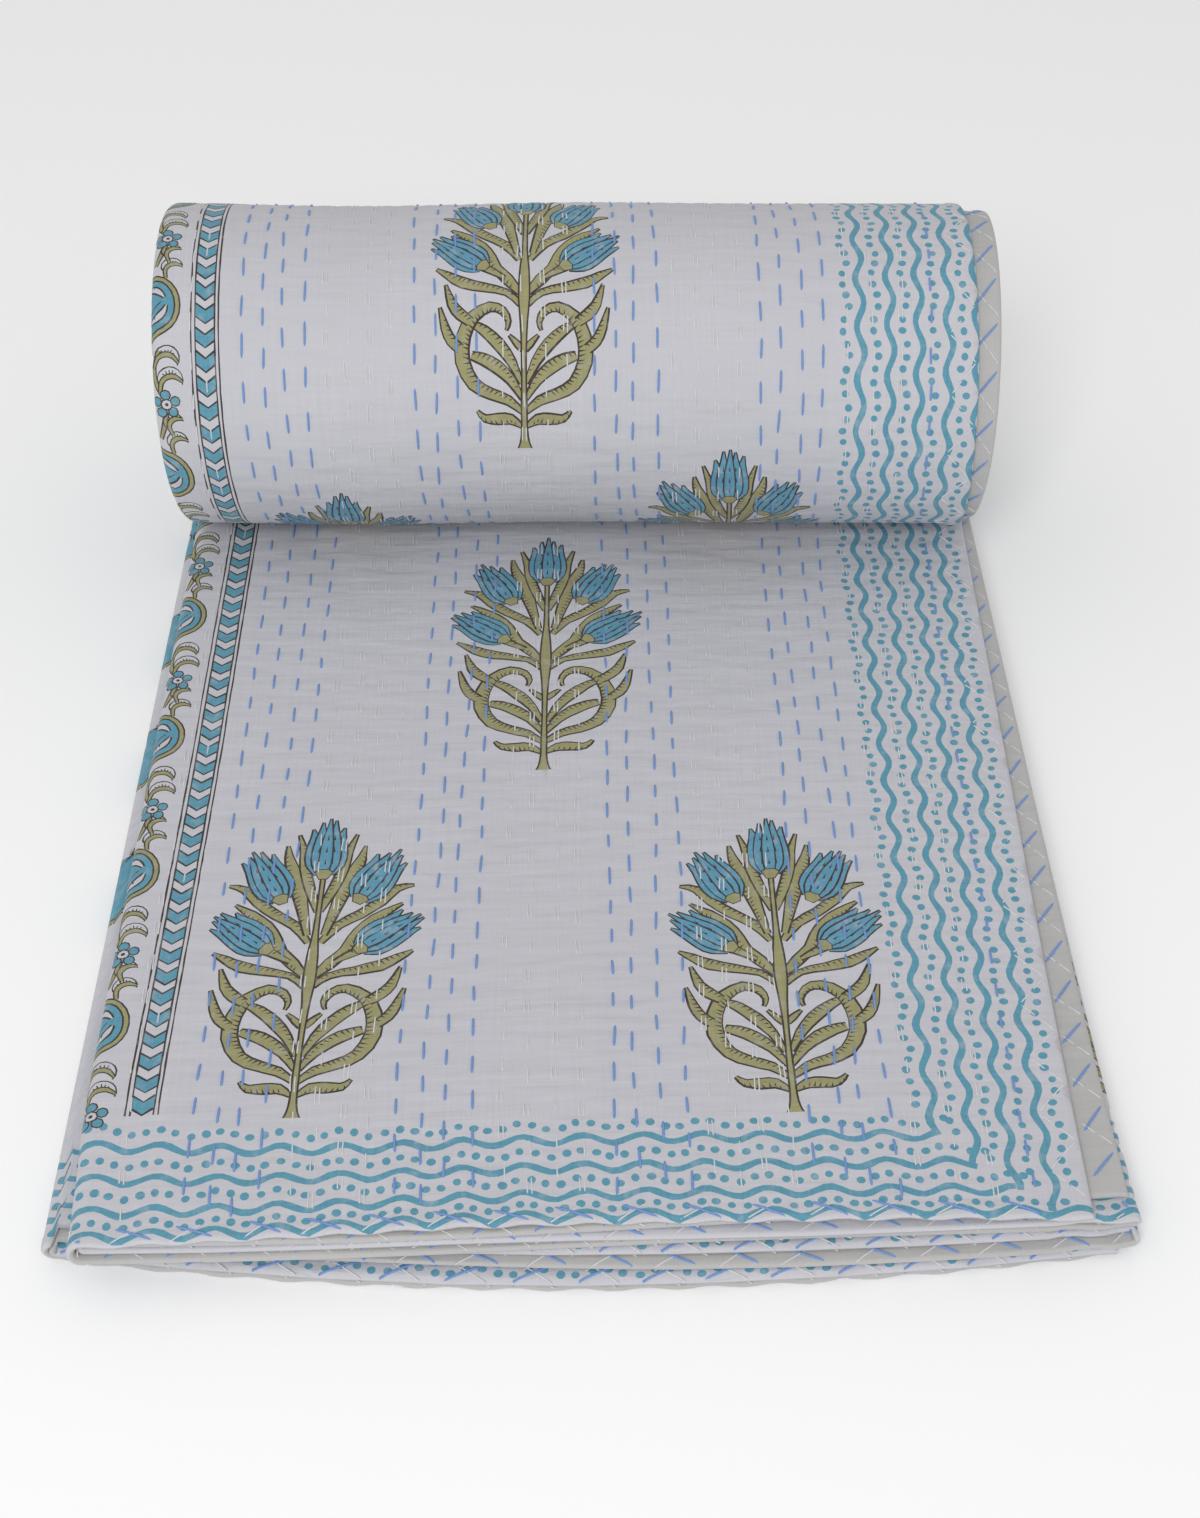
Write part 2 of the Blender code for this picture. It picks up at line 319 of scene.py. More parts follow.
# ---------------------------------------------------------------------------------------------
# The rows of hand quilting that the cloth is drawn in along: four blue lines to a group, and fine
# white ones between the groups. The quilt is thinner along each row, and thicker at its hems.
LINE_GAP = 9.5 * MM
FOUR_LINES = (-1.5, -0.5, 0.5, 1.5)
BLUE_GROUPS = (85 * MM, 160 * MM, 241 * MM, 319 * MM)
BLUE_LINES = [centre + step * LINE_GAP for centre in BLUE_GROUPS for step in FOUR_LINES]
WHITE_LINES = [34 * MM, 47 * MM, 60 * MM]
for before, after in zip(BLUE_GROUPS, BLUE_GROUPS[1:]):
    WHITE_LINES += [before + (after - before) / 2 + step * LINE_GAP for step in FOUR_LINES]
WHITE_LINES += [356 * MM]

PUCKER_DEPTH = 0.3 * MM
PUCKER_HALF_WIDTH = 2.0 * MM
HEM_THICK = 2.9 * MM
HEM_WIDTH = 8 * MM


def edge_distance(u, v):
    """Distance on the cloth to the nearest of its four edges."""
    return np.minimum(np.minimum(u, CLOTH_WIDTH - u), np.minimum(v, CLOTH_LENGTH - v))


def half_thickness(u, v):
    """Half the quilt's thickness: a rolled edge, a full hem, and a dip at each quilted line."""
    away = edge_distance(u, v)
    full = HEM_THICK / 2
    fade = np.clip((away - HEM_WIDTH / 2) / (HEM_WIDTH / 2), 0.0, 1.0)
    body = full + (CLOTH_THICK / 2 - full) * fade * fade * (3 - 2 * fade)
    inside = np.clip(1 - away / full, 0.0, 1.0)
    rolled = body * np.sqrt(np.clip(1 - inside**2, 0.0, 1.0))
    dip = np.zeros_like(u)
    for line in BLUE_LINES + WHITE_LINES:
        dip = np.maximum(dip, np.exp(-((u - line) / PUCKER_HALF_WIDTH) ** 2))
    return rolled - PUCKER_DEPTH * dip * np.clip(away / HEM_WIDTH, 0.0, 1.0)


# ---------------------------------------------------------------------------------------------
# The printed cloth: bleached cotton sheeting, block printed by hand and turned in at its edges. It
# is cut along its prints, so that each ink is a material of its own, and laid on the fold. Its grid
# is fine where the print shows, and coarse inside the fold.
HEM_STEPS = [0.0, 0.35 * MM, 0.9 * MM, 1.6 * MM, 4 * MM, 8 * MM]
FINE_COLUMN = 4.8 * MM
HIDDEN_COLUMN = 47 * MM
BESIDE_FOLD = 30 * MM
BESIDE_FOLD_COLUMN = 5 * MM
FOLD_STEPS = {"AD": 8, "DC": 6, "CB": 5}
FINE_ROW = 8 * MM
ROLL_ROW = 6.5 * MM
LOWER_ROW = 40 * MM
NOSE_STEPS = 8
HIDDEN_ROW_TURNED = math.tau / 22
ROLL_SHOWS_TURNED = math.tau * 1.02
ROUNDING = 1e-6


def evenly(start, end, step):
    """Values from start up to, and without, end, in equal steps no longer than step."""
    count = max(1, math.ceil((end - start) / step - ROUNDING))
    return [start + (end - start) * i / count for i in range(count)]


def grid_columns():
    """Places across the cloth where the grid has a column."""
    knots = [HEM_STEPS[-1]] + sorted(BLUE_LINES + WHITE_LINES) + [WIDTHS["A"]]
    columns = list(HEM_STEPS[:-1])
    for start, end in zip(knots, knots[1:]):
        columns += evenly(start, end, FINE_COLUMN)
    columns += evenly(STARTS["AD"], STARTS["D"], OUTER_ARC / FOLD_STEPS["AD"])
    columns += evenly(STARTS["D"], STARTS["DC"] - BESIDE_FOLD, HIDDEN_COLUMN)
    columns += evenly(STARTS["DC"] - BESIDE_FOLD, STARTS["DC"], BESIDE_FOLD_COLUMN)
    columns += evenly(STARTS["DC"], STARTS["C"], TIGHT_ARC / FOLD_STEPS["DC"])
    columns += evenly(STARTS["C"], STARTS["C"] + BESIDE_FOLD, BESIDE_FOLD_COLUMN)
    columns += evenly(STARTS["C"] + BESIDE_FOLD, STARTS["CB"], HIDDEN_COLUMN)
    columns += evenly(STARTS["CB"], STARTS["B"], TIGHT_ARC / FOLD_STEPS["CB"])
    columns += evenly(STARTS["B"], CLOTH_WIDTH - HEM_STEPS[-1], HIDDEN_COLUMN)
    columns += [CLOTH_WIDTH - step for step in reversed(HEM_STEPS)]
    return columns


def rolled_length(turned, half):
    """v at which the top panel has gone this far round the roll, on the upper or lower half."""
    if half == "upper":
        return FLAT_LENGTH + (ROLL_RADIUS - TOP_HEIGHT) * turned - TIGHTENING * turned**2
    return CLOTH_LENGTH - FLAT_LENGTH - (ROLL_RADIUS + TOP_HEIGHT) * turned + TIGHTENING * turned**2


def grid_rows():
    """Places along the cloth where the grid has a row."""
    rows = list(HEM_STEPS[:-1])
    rows += evenly(HEM_STEPS[-1], FLAT_LENGTH, FINE_ROW)
    turns = evenly(0.0, NOSE_TURNED, HIDDEN_ROW_TURNED)
    rows += [rolled_length(turned, "upper") for turned in turns]
    rows += evenly(NOSE_STARTS, NOSE_ENDS, (NOSE_ENDS - NOSE_STARTS) / NOSE_STEPS)
    inner = evenly(ROLL_SHOWS_TURNED, NOSE_TURNED, HIDDEN_ROW_TURNED) + [NOSE_TURNED]
    rows += [rolled_length(turned, "lower") for turned in reversed(inner[1:])]
    rows += evenly(rolled_length(inner[0], "lower"), rolled_length(0.0, "lower"), ROLL_ROW)
    rows += evenly(rolled_length(0.0, "lower"), CLOTH_LENGTH - HEM_STEPS[-1], LOWER_ROW)
    rows += [CLOTH_LENGTH - step for step in reversed(HEM_STEPS)]
    return rows


columns = grid_columns()
rows = grid_rows()

# Each print is an ink and an outline on the cloth, in (u, v), the last ones lying on the first.
prints = []
hand = random.Random(11)
SMALLEST_PRINT = 1e-10  # in square metres
POINT_SIZE = 1e-7
BEND_COLUMNS = np.array(sorted(
    HEM_STEPS + [CLOTH_WIDTH - step for step in HEM_STEPS]
    + [u for u in columns if any(STARTS[fold] <= u <= STARTS[fold] + WIDTHS[fold] + HAIR for fold in FOLDS)]))
BEND_ROWS = np.array(sorted(HEM_STEPS + [CLOTH_LENGTH - step for step in HEM_STEPS]))


def bent(start, end):
    """A straight stretch with a point wherever it crosses a column or row that the cloth bends at."""
    shares = []
    for axis, lines in ((0, BEND_COLUMNS), (1, BEND_ROWS)):
        low, high = sorted((start[axis], end[axis]))
        if high - low > POINT_SIZE:
            crossed = lines[np.searchsorted(lines, low + POINT_SIZE):
                            np.searchsorted(lines, high - POINT_SIZE)]
            shares += [(line - start[axis]) / (end[axis] - start[axis]) for line in crossed]
    return [start] + [(start[0] + share * (end[0] - start[0]), start[1] + share * (end[1] - start[1]))
                      for share in sorted(shares)]


def trimmed(outline):
    """An outline cut off at the edges of the cloth."""
    for axis, limit, side in ((0, 0.0, 1), (0, CLOTH_WIDTH, -1), (1, 0.0, 1), (1, CLOTH_LENGTH, -1)):
        kept = []
        for a, b in zip(outline, outline[1:] + outline[:1]):
            depth_a, depth_b = side * (a[axis] - limit), side * (b[axis] - limit)
            if depth_a >= 0:
                kept.append(a)
            if depth_a * depth_b < 0:
                share = depth_a / (depth_a - depth_b)
                cut = [a[0] + share * (b[0] - a[0]), a[1] + share * (b[1] - a[1])]
                cut[axis] = limit
                kept.append(tuple(cut))
        outline = kept
    return outline


# Where the folded quilt can be seen from some side: on the top panel from the near hem to the roll
# and round its outer turn, a little round the outer fold, and at the hems and the other folds.
TOP_SHOWS = ((0.0, 0.46), (1.33, 1.875))
SHOWS_ON_D = 25 * MM
SHOWS_AT_NEAR_HEM = 11 * MM
SHOWS_AT_SIDE_HEM = 3 * MM
SHOWS_IN_FOLD = {"AD": 19 * MM, "DC": 14 * MM, "CB": 9 * MM}


def within(v, stretches):
    """Whether v lies in one of these stretches of the cloth's length."""
    return any(first <= v < last for first, last in stretches)


def shows(outline):
    """Whether any of an outline lies where the folded quilt can be seen from some side."""
    for u, v in outline:
        on_top = u < STARTS["D"] + SHOWS_ON_D and within(v, TOP_SHOWS)
        near_hem = min(v, CLOTH_LENGTH - v) < SHOWS_AT_NEAR_HEM
        side_hem = min(u, CLOTH_WIDTH - u) < SHOWS_AT_SIDE_HEM
        in_fold = any(abs(u - STARTS[fold] - WIDTHS[fold] / 2) < SHOWS_IN_FOLD[fold] for fold in FOLDS)
        if on_top or near_hem or side_hem or in_fold:
            return True
    return False


def crosses_itself(outline):
    """Whether two sides of an outline that aren't neighbours cross."""
    a = np.array(outline)
    b = np.roll(a, -1, axis=0)
    side = b - a

    def turn(p, q):
        return side[:, None, 0] * (p - q)[..., 1] - side[:, None, 1] * (p - q)[..., 0]

    starts = turn(a[None, :], a[:, None])
    ends = turn(b[None, :], a[:, None])
    apart = starts * ends < 0
    return bool((apart & apart.T).any())


def lay(ink, outline):
    """Print an outline, trimmed, turned anticlockwise and bent with the cloth, unless it crosses itself."""
    kept = trimmed(outline)
    if len(kept) < 3 or not shows(kept):
        return True
    area = sum(a[0] * b[1] - b[0] * a[1] for a, b in zip(kept, kept[1:] + kept[:1])) / 2
    if abs(area) < SMALLEST_PRINT:
        return True
    if len(kept) > 3 and crosses_itself(kept):
        return False
    if area < 0:
        kept.reverse()
    prints.append((ink, [point for a, b in zip(kept, kept[1:] + kept[:1]) for point in bent(a, b)]))
    return True


PIECES_IN_ONE = 10


def lay_ribbon(ink, path, widths):
    """Print a line of changing width along a path: whole stretches of it, or where it curls, pieces."""
    sides = []
    for i, (place, width) in enumerate(zip(path, widths)):
        before, after = path[max(i - 1, 0)], path[min(i + 1, len(path) - 1)]
        along_u, along_v = after[0] - before[0], after[1] - before[1]
        half = width / 2 / (math.hypot(along_u, along_v) or 1.0)
        off = (-along_v * half, along_u * half)
        sides.append(((place[0] - off[0], place[1] - off[1]), (place[0] + off[0], place[1] + off[1])))
    for start in range(0, len(sides) - 1, PIECES_IN_ONE):
        part = sides[start:start + PIECES_IN_ONE + 1]
        if lay(ink, [low for low, _ in part] + [high for _, high in reversed(part)]):
            continue
        for (a, b), (d, c) in zip(part, part[1:]):
            if not lay(ink, [a, d, c, b]):
                lay(ink, [a, d, c])
                lay(ink, [a, c, b])


# The border: waving lines with a row of dots between each two, along every edge of the cloth. The
# two directions meet in a mitre of nested corners. Here and below, slips of the hand are in mm, and
# a pair such as DOT_SIZES holds the least and the most that a size is multiplied by.
SIDE_WAVES = (0.5 * MM, 13.5 * MM, 27 * MM, 40 * MM, 53.5 * MM)
SIDE_DOTS = (7 * MM, 20.5 * MM, 33.5 * MM, 46.5 * MM, 60 * MM)
SIDE_PERIOD = 23 * MM
SIDE_SWING = 1.75 * MM
NEAR_WAVES = (3.2 * MM, 13 * MM, 25.5 * MM, 38.5 * MM)
NEAR_DOTS = (7.8 * MM, 19.3 * MM, 32 * MM, 45 * MM)
FAR_WAVES = (11.2 * MM, 23.5 * MM, 36 * MM)
FAR_DOTS = (5.4 * MM, 17.2 * MM, 29.5 * MM)
NEAR_PERIOD = 22.5 * MM
NEAR_SWING = 1.9 * MM
WAVE_STEPS = 8
WAVE_WIDTH = 2.75 * MM
WAVE_SWELL = 0.10
SWELL_TURNS = 410
WAVE_UNEVEN = 0.06
DOT_CORNERS = 8
DOT_SIZE = 3.5 * MM
DOT_SIZES = (0.88, 1.1)
DOT_GAP = 5.55 * MM
DOT_SWING = 0.8
DOT_SLIP_ALONG = 0.45
DOT_SLIP_OFF = 0.3

# Where the side rows are printed, how far the near and far rows run round the folds, and where in
# their swing the rows start: the far rows, those round the tight fold, and each side row in turn.
SIDE_ROWS_SHOW = ((0.0, 0.47), (1.32, 1.86))
WHOLE_WIDTH = (SIDE_DOTS[0], CLOTH_WIDTH - SIDE_DOTS[0])
ROUND_OUTER_FOLD = (STARTS["AD"] - 24 * MM, STARTS["D"] + 24 * MM)
ROUND_TIGHT_FOLD = (STARTS["DC"] - 14 * MM, STARTS["C"] + 14 * MM)
HEM_WAVE_SHOWS = (FLAT_LENGTH + 20 * MM, CLOTH_LENGTH - FLAT_LENGTH)
FAR_PHASE = 4.0
TIGHT_FOLD_PHASE = 2.0
SIDE_PHASE = 0.35
SIDE_DOTS_PHASE = 0.2

# The near rows are printed further apart towards the outer fold, and the bands beside that fold
# run nearer to it at the hem.
SPREAD = 0.16
SPREAD_FROM = 0.24
SPREAD_OVER = 0.13
BAND_SLIP = 3 * MM
BAND_SLIP_OVER = 0.25


def lay_wave(start, end, place_at, period, swing, phase):
    """A waving line between two places, drawn by place_at(along, off)."""
    count = max(2, round((end - start) / (period / WAVE_STEPS)))
    path, widths = [], []
    for i in range(count + 1):
        along = start + (end - start) * i / count
        path.append(place_at(along, swing * math.sin(math.tau * along / period + phase)))
        swell = WAVE_SWELL * math.sin(along * SWELL_TURNS + phase)
        widths.append(WAVE_WIDTH * (1 + swell + hand.uniform(-WAVE_UNEVEN, WAVE_UNEVEN)))
    lay_ribbon("teal", path, widths)


def lay_dots(start, end, place_at, period, swing, phase):
    """A row of round dots that follows the waves beside it."""
    count = round((end - start) / DOT_GAP)
    for i in range(count):
        along = start + (i + 0.5) * (end - start) / count + hand.uniform(-DOT_SLIP_ALONG, DOT_SLIP_ALONG) * MM
        off = (swing * DOT_SWING * math.sin(math.tau * along / period + phase)
               + hand.uniform(-DOT_SLIP_OFF, DOT_SLIP_OFF) * MM)
        u, v = place_at(along, off)
        wide, long = (DOT_SIZE / 2 * hand.uniform(*DOT_SIZES) for _ in range(2))
        lay("teal", [(u + wide * math.cos(turn), v + long * math.sin(turn))
                     for turn in (math.tau * (k + 0.5) / DOT_CORNERS for k in range(DOT_CORNERS))])


def spread(u):
    """How much further apart the near rows are printed here than at the side hem."""
    return 1 + SPREAD * min(max((u - SPREAD_FROM) / SPREAD_OVER, 0.0), 1.0) ** 2


def band_slip(v):
    """How far the bands along the outer fold are printed towards it, near the hem."""
    return BAND_SLIP * max(1 - v / BAND_SLIP_OVER, 0.0)


NEAR_ROWS = ((lay_wave, NEAR_WAVES, (0.0,) + SIDE_WAVES[2:]), (lay_dots, NEAR_DOTS, SIDE_DOTS))
for kind, lines, corners in NEAR_ROWS:
    for line, begins in zip(lines, corners):
        kind(begins, ROUND_OUTER_FOLD[1], lambda along, off: (along, line * spread(along) + off),
             NEAR_PERIOD, NEAR_SWING, 0.0)
for wave, dots, reach in zip(FAR_WAVES, FAR_DOTS, (WHOLE_WIDTH, ROUND_OUTER_FOLD, ROUND_OUTER_FOLD)):
    for kind, line in ((lay_dots, dots), (lay_wave, wave)):
        kind(*reach, lambda along, off: (along, CLOTH_LENGTH - line - off),
             NEAR_PERIOD, NEAR_SWING, FAR_PHASE)
for first, last in SIDE_ROWS_SHOW:
    for k, line in enumerate(SIDE_WAVES[1:], 1):
        begins = NEAR_WAVES[k - 1] if first == 0.0 else first
        lay_wave(begins, last, lambda along, off: (line + off, along),
                 SIDE_PERIOD, SIDE_SWING, SIDE_PHASE * k)
    for k, line in enumerate(SIDE_DOTS):
        begins = NEAR_DOTS[max(k - 1, 0)] + DOT_GAP if first == 0.0 else first
        lay_dots(begins, last, lambda along, off: (line + off, along),
                 SIDE_PERIOD, SIDE_SWING, SIDE_PHASE * k + SIDE_DOTS_PHASE)
for hem in (lambda off: SIDE_WAVES[0] + off, lambda off: CLOTH_WIDTH - SIDE_WAVES[0] - off):
    lay_wave(*HEM_WAVE_SHOWS, lambda along, off: (hem(off), along), SIDE_PERIOD, SIDE_SWING, 0.0)
for kind, near_lines, far_lines in ((lay_wave, NEAR_WAVES, FAR_WAVES), (lay_dots, NEAR_DOTS, FAR_DOTS)):
    for place_row, lines in ((lambda off: off, near_lines), (lambda off: CLOTH_LENGTH - off, far_lines)):
        for line in lines:
            kind(*ROUND_TIGHT_FOLD, lambda along, off: (along, place_row(line + off)),
                 NEAR_PERIOD, NEAR_SWING, TIGHT_FOLD_PHASE)

# The bouquet: five tulips on one stem, with curled leaves. It is printed from carved blocks, one for
# the dark outlines and two for the colours, so the colours sit a little off their outlines. Places
# and widths are in mm, from the foot of the stem and for the right half; angles are in degrees.
OUTLINE_WIDTH = 0.8
LEAF_FULLNESS = 0.82
COLOUR_OFFSET = 0.22
FINEST_LEAF = 0.3
TICKED_LEAF = 2.0
TICK_GAP = 2.3
TICK_GAPS = (0.85, 1.15)
TICK_HALF_WIDTH = 0.46
TICK_REACH = (0.45, 0.68)
TICK_LEAN = (0.6, 1.3)
BLOCK_TURN = 1.2
BLOCK_SIZES = (0.985, 1.015)
TRUNK = ((0, 0, 6.6), (0, 3, 4.0), (0, 9, 2.2), (0, 20, 2.1), (0, 32, 1.5), (0, 46, 1.7), (0, 58, 3.0),
         (0, 68, 5.0), (0, 78, 4.8), (0, 86, 3.6), (0, 95, 1.8), (0, 112, 1.3), (0, 128, 1.5))
LEAVES = (
    # base leaf, lowest blade with its curl, and the two blades inside it
    (1, ((1, 10.5, 1), (6, 14, 4.6), (12, 14.2, 5.2), (18, 14.5, 3.2), (21.5, 18, 0.4))),
    (-1, ((0.5, 17, 1.5), (7, 22.5, 4.2), (15, 25.5, 5.0), (23, 30, 6.0), (28, 40, 6.8), (27.5, 51, 6.6),
          (23, 60, 5.6), (15.5, 64.5, 4.6), (9.5, 62.5, 3.4), (7, 57.5, 1.8), (8, 53.5, 0.4))),
    (-1, ((0.8, 23, 1.2), (6, 31.5, 4.2), (12.5, 37.5, 6.0), (19, 41, 5.2), (24, 42.5, 3.4))),
    (-1, ((1.2, 30, 1.2), (5.5, 39.5, 4.0), (11.5, 47.5, 5.6), (18, 53.5, 4.6), (22, 56, 3.0))),
    # the two horns outside the curl
    (-1, ((24.5, 57.5, 4.0), (29, 61, 5.2), (33, 66, 4.2), (36, 75.5, 0.4))),
    (-1, ((29, 45.5, 4.2), (33, 49, 4.6), (36, 55, 3.6), (38.5, 64.5, 0.4))),
    # small leaf on the stem, and the long leaf under the low side tulip
    (1, ((0.8, 44.5, 1.4), (3, 47.5, 2.6), (6.8, 51.5, 0.4))),
    (-1, ((1.6, 65.5, 2.2), (8, 71.5, 2.8), (18, 74, 4.2), (28, 76.5, 5.6), (35, 80.5, 3.6),
          (40.5, 84, 0.4))),
    # stalk of the low side tulip, and the leaf over it
    (1, ((1.8, 71, 2.4), (7.5, 78, 5.4), (13, 84.5, 5.0), (15.5, 91, 4.6), (20, 98.5, 4.4), (27, 104.5, 4.2),
         (34.5, 110, 0.4))),
    (-1, ((9, 79, 1.4), (14, 82, 3.0), (19, 85, 4.2))),
    # long leaf under the upper side tulip, and the one between it and the top tulip
    (-1, ((2.5, 89, 2.2), (9, 98.5, 4.2), (17.5, 104.5, 4.8), (25.5, 111.5, 4.8), (31.5, 118.5, 3.8),
          (38.5, 120.5, 0.4))),
    (1, ((3.5, 93, 2.2), (6.5, 106, 4.4), (9.5, 118, 6.6), (13, 129, 6.0), (15.5, 137, 3.4),
         (16.5, 143.5, 0.4))),
    (1, ((0.5, 106, 2.0), (4.6, 118, 4.2), (8.0, 130, 4.4), (9.4, 140, 3.2), (12.3, 150, 0.4))),
)
# Tulips: foot, lean out from upright in degrees, length and width.
TULIPS = (((0, 126.5), 0, 31.5, 16.5), ((16, 112.5), 28, 30, 16.5), ((18.5, 85.5), 52, 29.5, 16))
# Petals: where the foot, belly and tip stand across, in half widths, each one's width, and how far
# up it reaches, in tulip widths and lengths.
PETALS = (
    (-0.28, -0.72, -0.82, 0.31, 0.86),
    (0.28, 0.72, 0.80, 0.31, 0.90),
    (-0.14, -0.39, -0.34, 0.31, 0.98),
    (0.14, 0.39, 0.32, 0.31, 1.0),
    (0.0, 0.0, 0.04, 0.28, 1.05),
)
PETAL_REACHES = (0.97, 1.03)
PETAL_EDGE = 2 * OUTLINE_WIDTH * 0.8
PETAL_INSET = 0.1
PETAL_VEIN = 0.44
CUP = ((-0.42, 0.05), (-0.2, -0.06), (0.2, -0.06), (0.42, 0.05), (0.2, 0.1), (-0.2, 0.1))
CUP_EDGE = 0.18


def smooth(points, steps=2):
    """Points on one smooth curve through given ones, each with its width."""
    points = np.array(points, float)
    padded = np.vstack([2 * points[0] - points[1], points, 2 * points[-1] - points[-2]])
    curve = []
    for a, b, c, d in zip(padded, padded[1:], padded[2:], padded[3:]):
        for i in range(steps):
            t = i / steps
            curve.append(0.5 * (2 * b + (c - a) * t + (2 * a - 5 * b + 4 * c - d) * t**2
                                + (3 * b - a - 3 * c + d) * t**3))
    curve.append(points[-1])
    return np.array(curve)


class Block:
    """Where a carved block is set down: its origin on the cloth, which way up, and its slight turn."""

    def __init__(self, u, v, up=1, mirrored=1, turn=0.0, size=1.0):
        self.place = (u, v)
        self.ways = (mirrored * size * MM, up * size * MM)
        self.turn = (math.cos(turn), math.sin(turn))

    def point(self, x, y):
        """A block place in mm as a place on the cloth. The block's +x is to A's side hem."""
        across = x * self.turn[0] - y * self.turn[1]
        up = x * self.turn[1] + y * self.turn[0]
        return self.place[0] - across * self.ways[0], self.place[1] + up * self.ways[1]

    def line(self, ink, path, widths, off=(0.0, 0.0)):
        """A ribbon along a path of block places."""
        lay_ribbon(ink, [self.point(x + off[0], y + off[1]) for x, y in path], [w * MM for w in widths])

    def edged(self, ink, curve, edge):
        """A ribbon along a curve of places and widths, with a dark edge."""
        self.line("outline", curve[:, :2], curve[:, 2] + edge)
        self.line(ink, curve[:, :2], curve[:, 2])

    def shape(self, ink, outline):
        """A filled outline of block places."""
        lay(ink, [self.point(x, y) for x, y in outline])


def colour_slip():
    """How far a colour sits off its outline."""
    return hand.uniform(-1, 1) * COLOUR_OFFSET, hand.uniform(-1, 1) * COLOUR_OFFSET


def leaf_prints(block, points, tick_side, colour="olive"):
    """A leaf: its dark edge, its colour, and short ticks in from one edge."""
    curve = smooth(points)
    path, widths = curve[:, :2], np.maximum(curve[:, 2] * LEAF_FULLNESS, FINEST_LEAF)
    block.line("outline", path, widths + 2 * OUTLINE_WIDTH)
    block.line(colour, path, widths, colour_slip())
    ahead = TICK_GAP / 2
    for a, b, width in zip(path, path[1:], widths):
        length = float(np.hypot(*(b - a))) or 1.0
        along = (b - a) / length
        out = np.array([-along[1], along[0]]) * tick_side
        half = along * TICK_HALF_WIDTH
        while ahead < length:
            if width > TICKED_LEAF:
                start = a + along * ahead + out * width * 0.5
                end = start - out * width * hand.uniform(*TICK_REACH) + along * hand.uniform(*TICK_LEAN)
                block.shape("outline", [start - half, start + half, end])
            ahead += TICK_GAP * hand.uniform(*TICK_GAPS)
        ahead -= length


def tulip_prints(block, foot, lean, length, width):
    """A tulip: its petals from the outer ones in, each with its dark edge, and its green cup."""
    lean = math.radians(lean)
    up = np.array([math.sin(lean), math.cos(lean)])
    side = np.array([math.cos(lean), -math.sin(lean)])

    def at(across, along):
        """A place in half widths and lengths of the tulip."""
        return np.array(foot) + side * across * width / 2 + up * along * length

    for base, belly, tip, wide, reach in PETALS:
        reach *= hand.uniform(*PETAL_REACHES)
        neck, full = belly * 0.9, wide * width
        narrows = at((neck + tip) / 2, 0.64 + 0.52 * (reach - 0.64))
        curve = smooth([
            (*at(base, 0.02), 0.16 * width), (*at(neck, 0.2), full), (*at(belly, 0.42), full * 1.05),
            (*at(neck, 0.64), full * 0.86), (*narrows, full * 0.42), (*at(tip, reach), 0.2)])
        block.line("outline", curve[:, :2], curve[:, 2] + PETAL_EDGE)
        block.line("blue", curve[:, :2], curve[:, 2] - PETAL_INSET, colour_slip())
        for a, b in zip(curve[2:-4:2, :2], curve[3:-3:2, :2]):
            step = b - a
            half = np.array([-step[1], step[0]]) / (float(np.hypot(*step)) or 1.0) * PETAL_VEIN
            block.shape("outline", [a - half, b, a + half])
    cup = [at(across, along) for across, along in CUP]
    block.shape("outline", [place + (place - at(0, 0.02)) * CUP_EDGE for place in cup])
    block.shape("olive", cup)


def bouquet_prints(u, v, up=1):
    """A whole bouquet, its foot at (u, v)."""
    turn = math.radians(hand.uniform(-BLOCK_TURN, BLOCK_TURN))
    size = hand.uniform(*BLOCK_SIZES)
    halves = [Block(u, v, up, mirrored, turn * mirrored, size) for mirrored in (1, -1)]
    for tick_side, points in LEAVES[1:-1]:
        for block in halves:
            leaf_prints(block, points, -tick_side)
    for block in halves:
        leaf_prints(block, LEAVES[0][1], -1)
        leaf_prints(block, LEAVES[-1][1], 1)
    trunk = smooth(TRUNK)
    trunk[:, 2] *= LEAF_FULLNESS
    halves[0].edged("olive", trunk, 2 * OUTLINE_WIDTH)
    for foot, lean, length, width in TULIPS[::-1]:
        for block in halves[:1] if lean == 0 else halves:
            tulip_prints(block, foot, lean, length, width)


# Where the bouquets' feet stand on the cloth, in mm. The last two lie round the tight fold.
BOUQUETS = ((105, 50), (295, 54), (202, 239), (107, 427), (292, 427),
            (111, 1329), (297, 1300), (206, 1487), (109, 1700), (296, 1682), (757, 50), (757, 427))
for across, along in BOUQUETS:
    bouquet_prints(across * MM, along * MM)

# The chevron band: blue arrow bands that point to the near hem, between pairs of thin dark lines.
CHEVRONS_SHOW = ((58 * MM, 0.47), (1.34, 1.86))
CHEVRON_BAND = (344.6 * MM, 353.2 * MM)
CHEVRON_PITCH = 10.7 * MM
CHEVRON_THICK = 6.0 * MM
CHEVRON_DROP = 3.3 * MM
CHEVRON_LINE = 1.05 * MM
CHEVRON_SLIPS = ((-0.2, 0.3), (-0.3, 0.2))
CHEVRON_DROPS = (0.9, 1.1)
CHEVRON_THICKS = (0.92, 1.05)
CHEVRON_LINE_WIDTHS = (0.6, 1.1)
BARE_CHANCE = 0.25
BARE_FROM = 2 * MM
BARE_HALF_WIDTHS = (0.25 * MM, 0.4 * MM)
BAND_LINES = (342.8 * MM, 344.5 * MM, 353.3 * MM, 355.2 * MM)
BAND_LINE = 0.72 * MM
BAND_LINE_STEP = 6 * MM
BAND_LINE_SLIP = 0.1
BAND_LINE_WIDTHS = (0.7, 1.3)


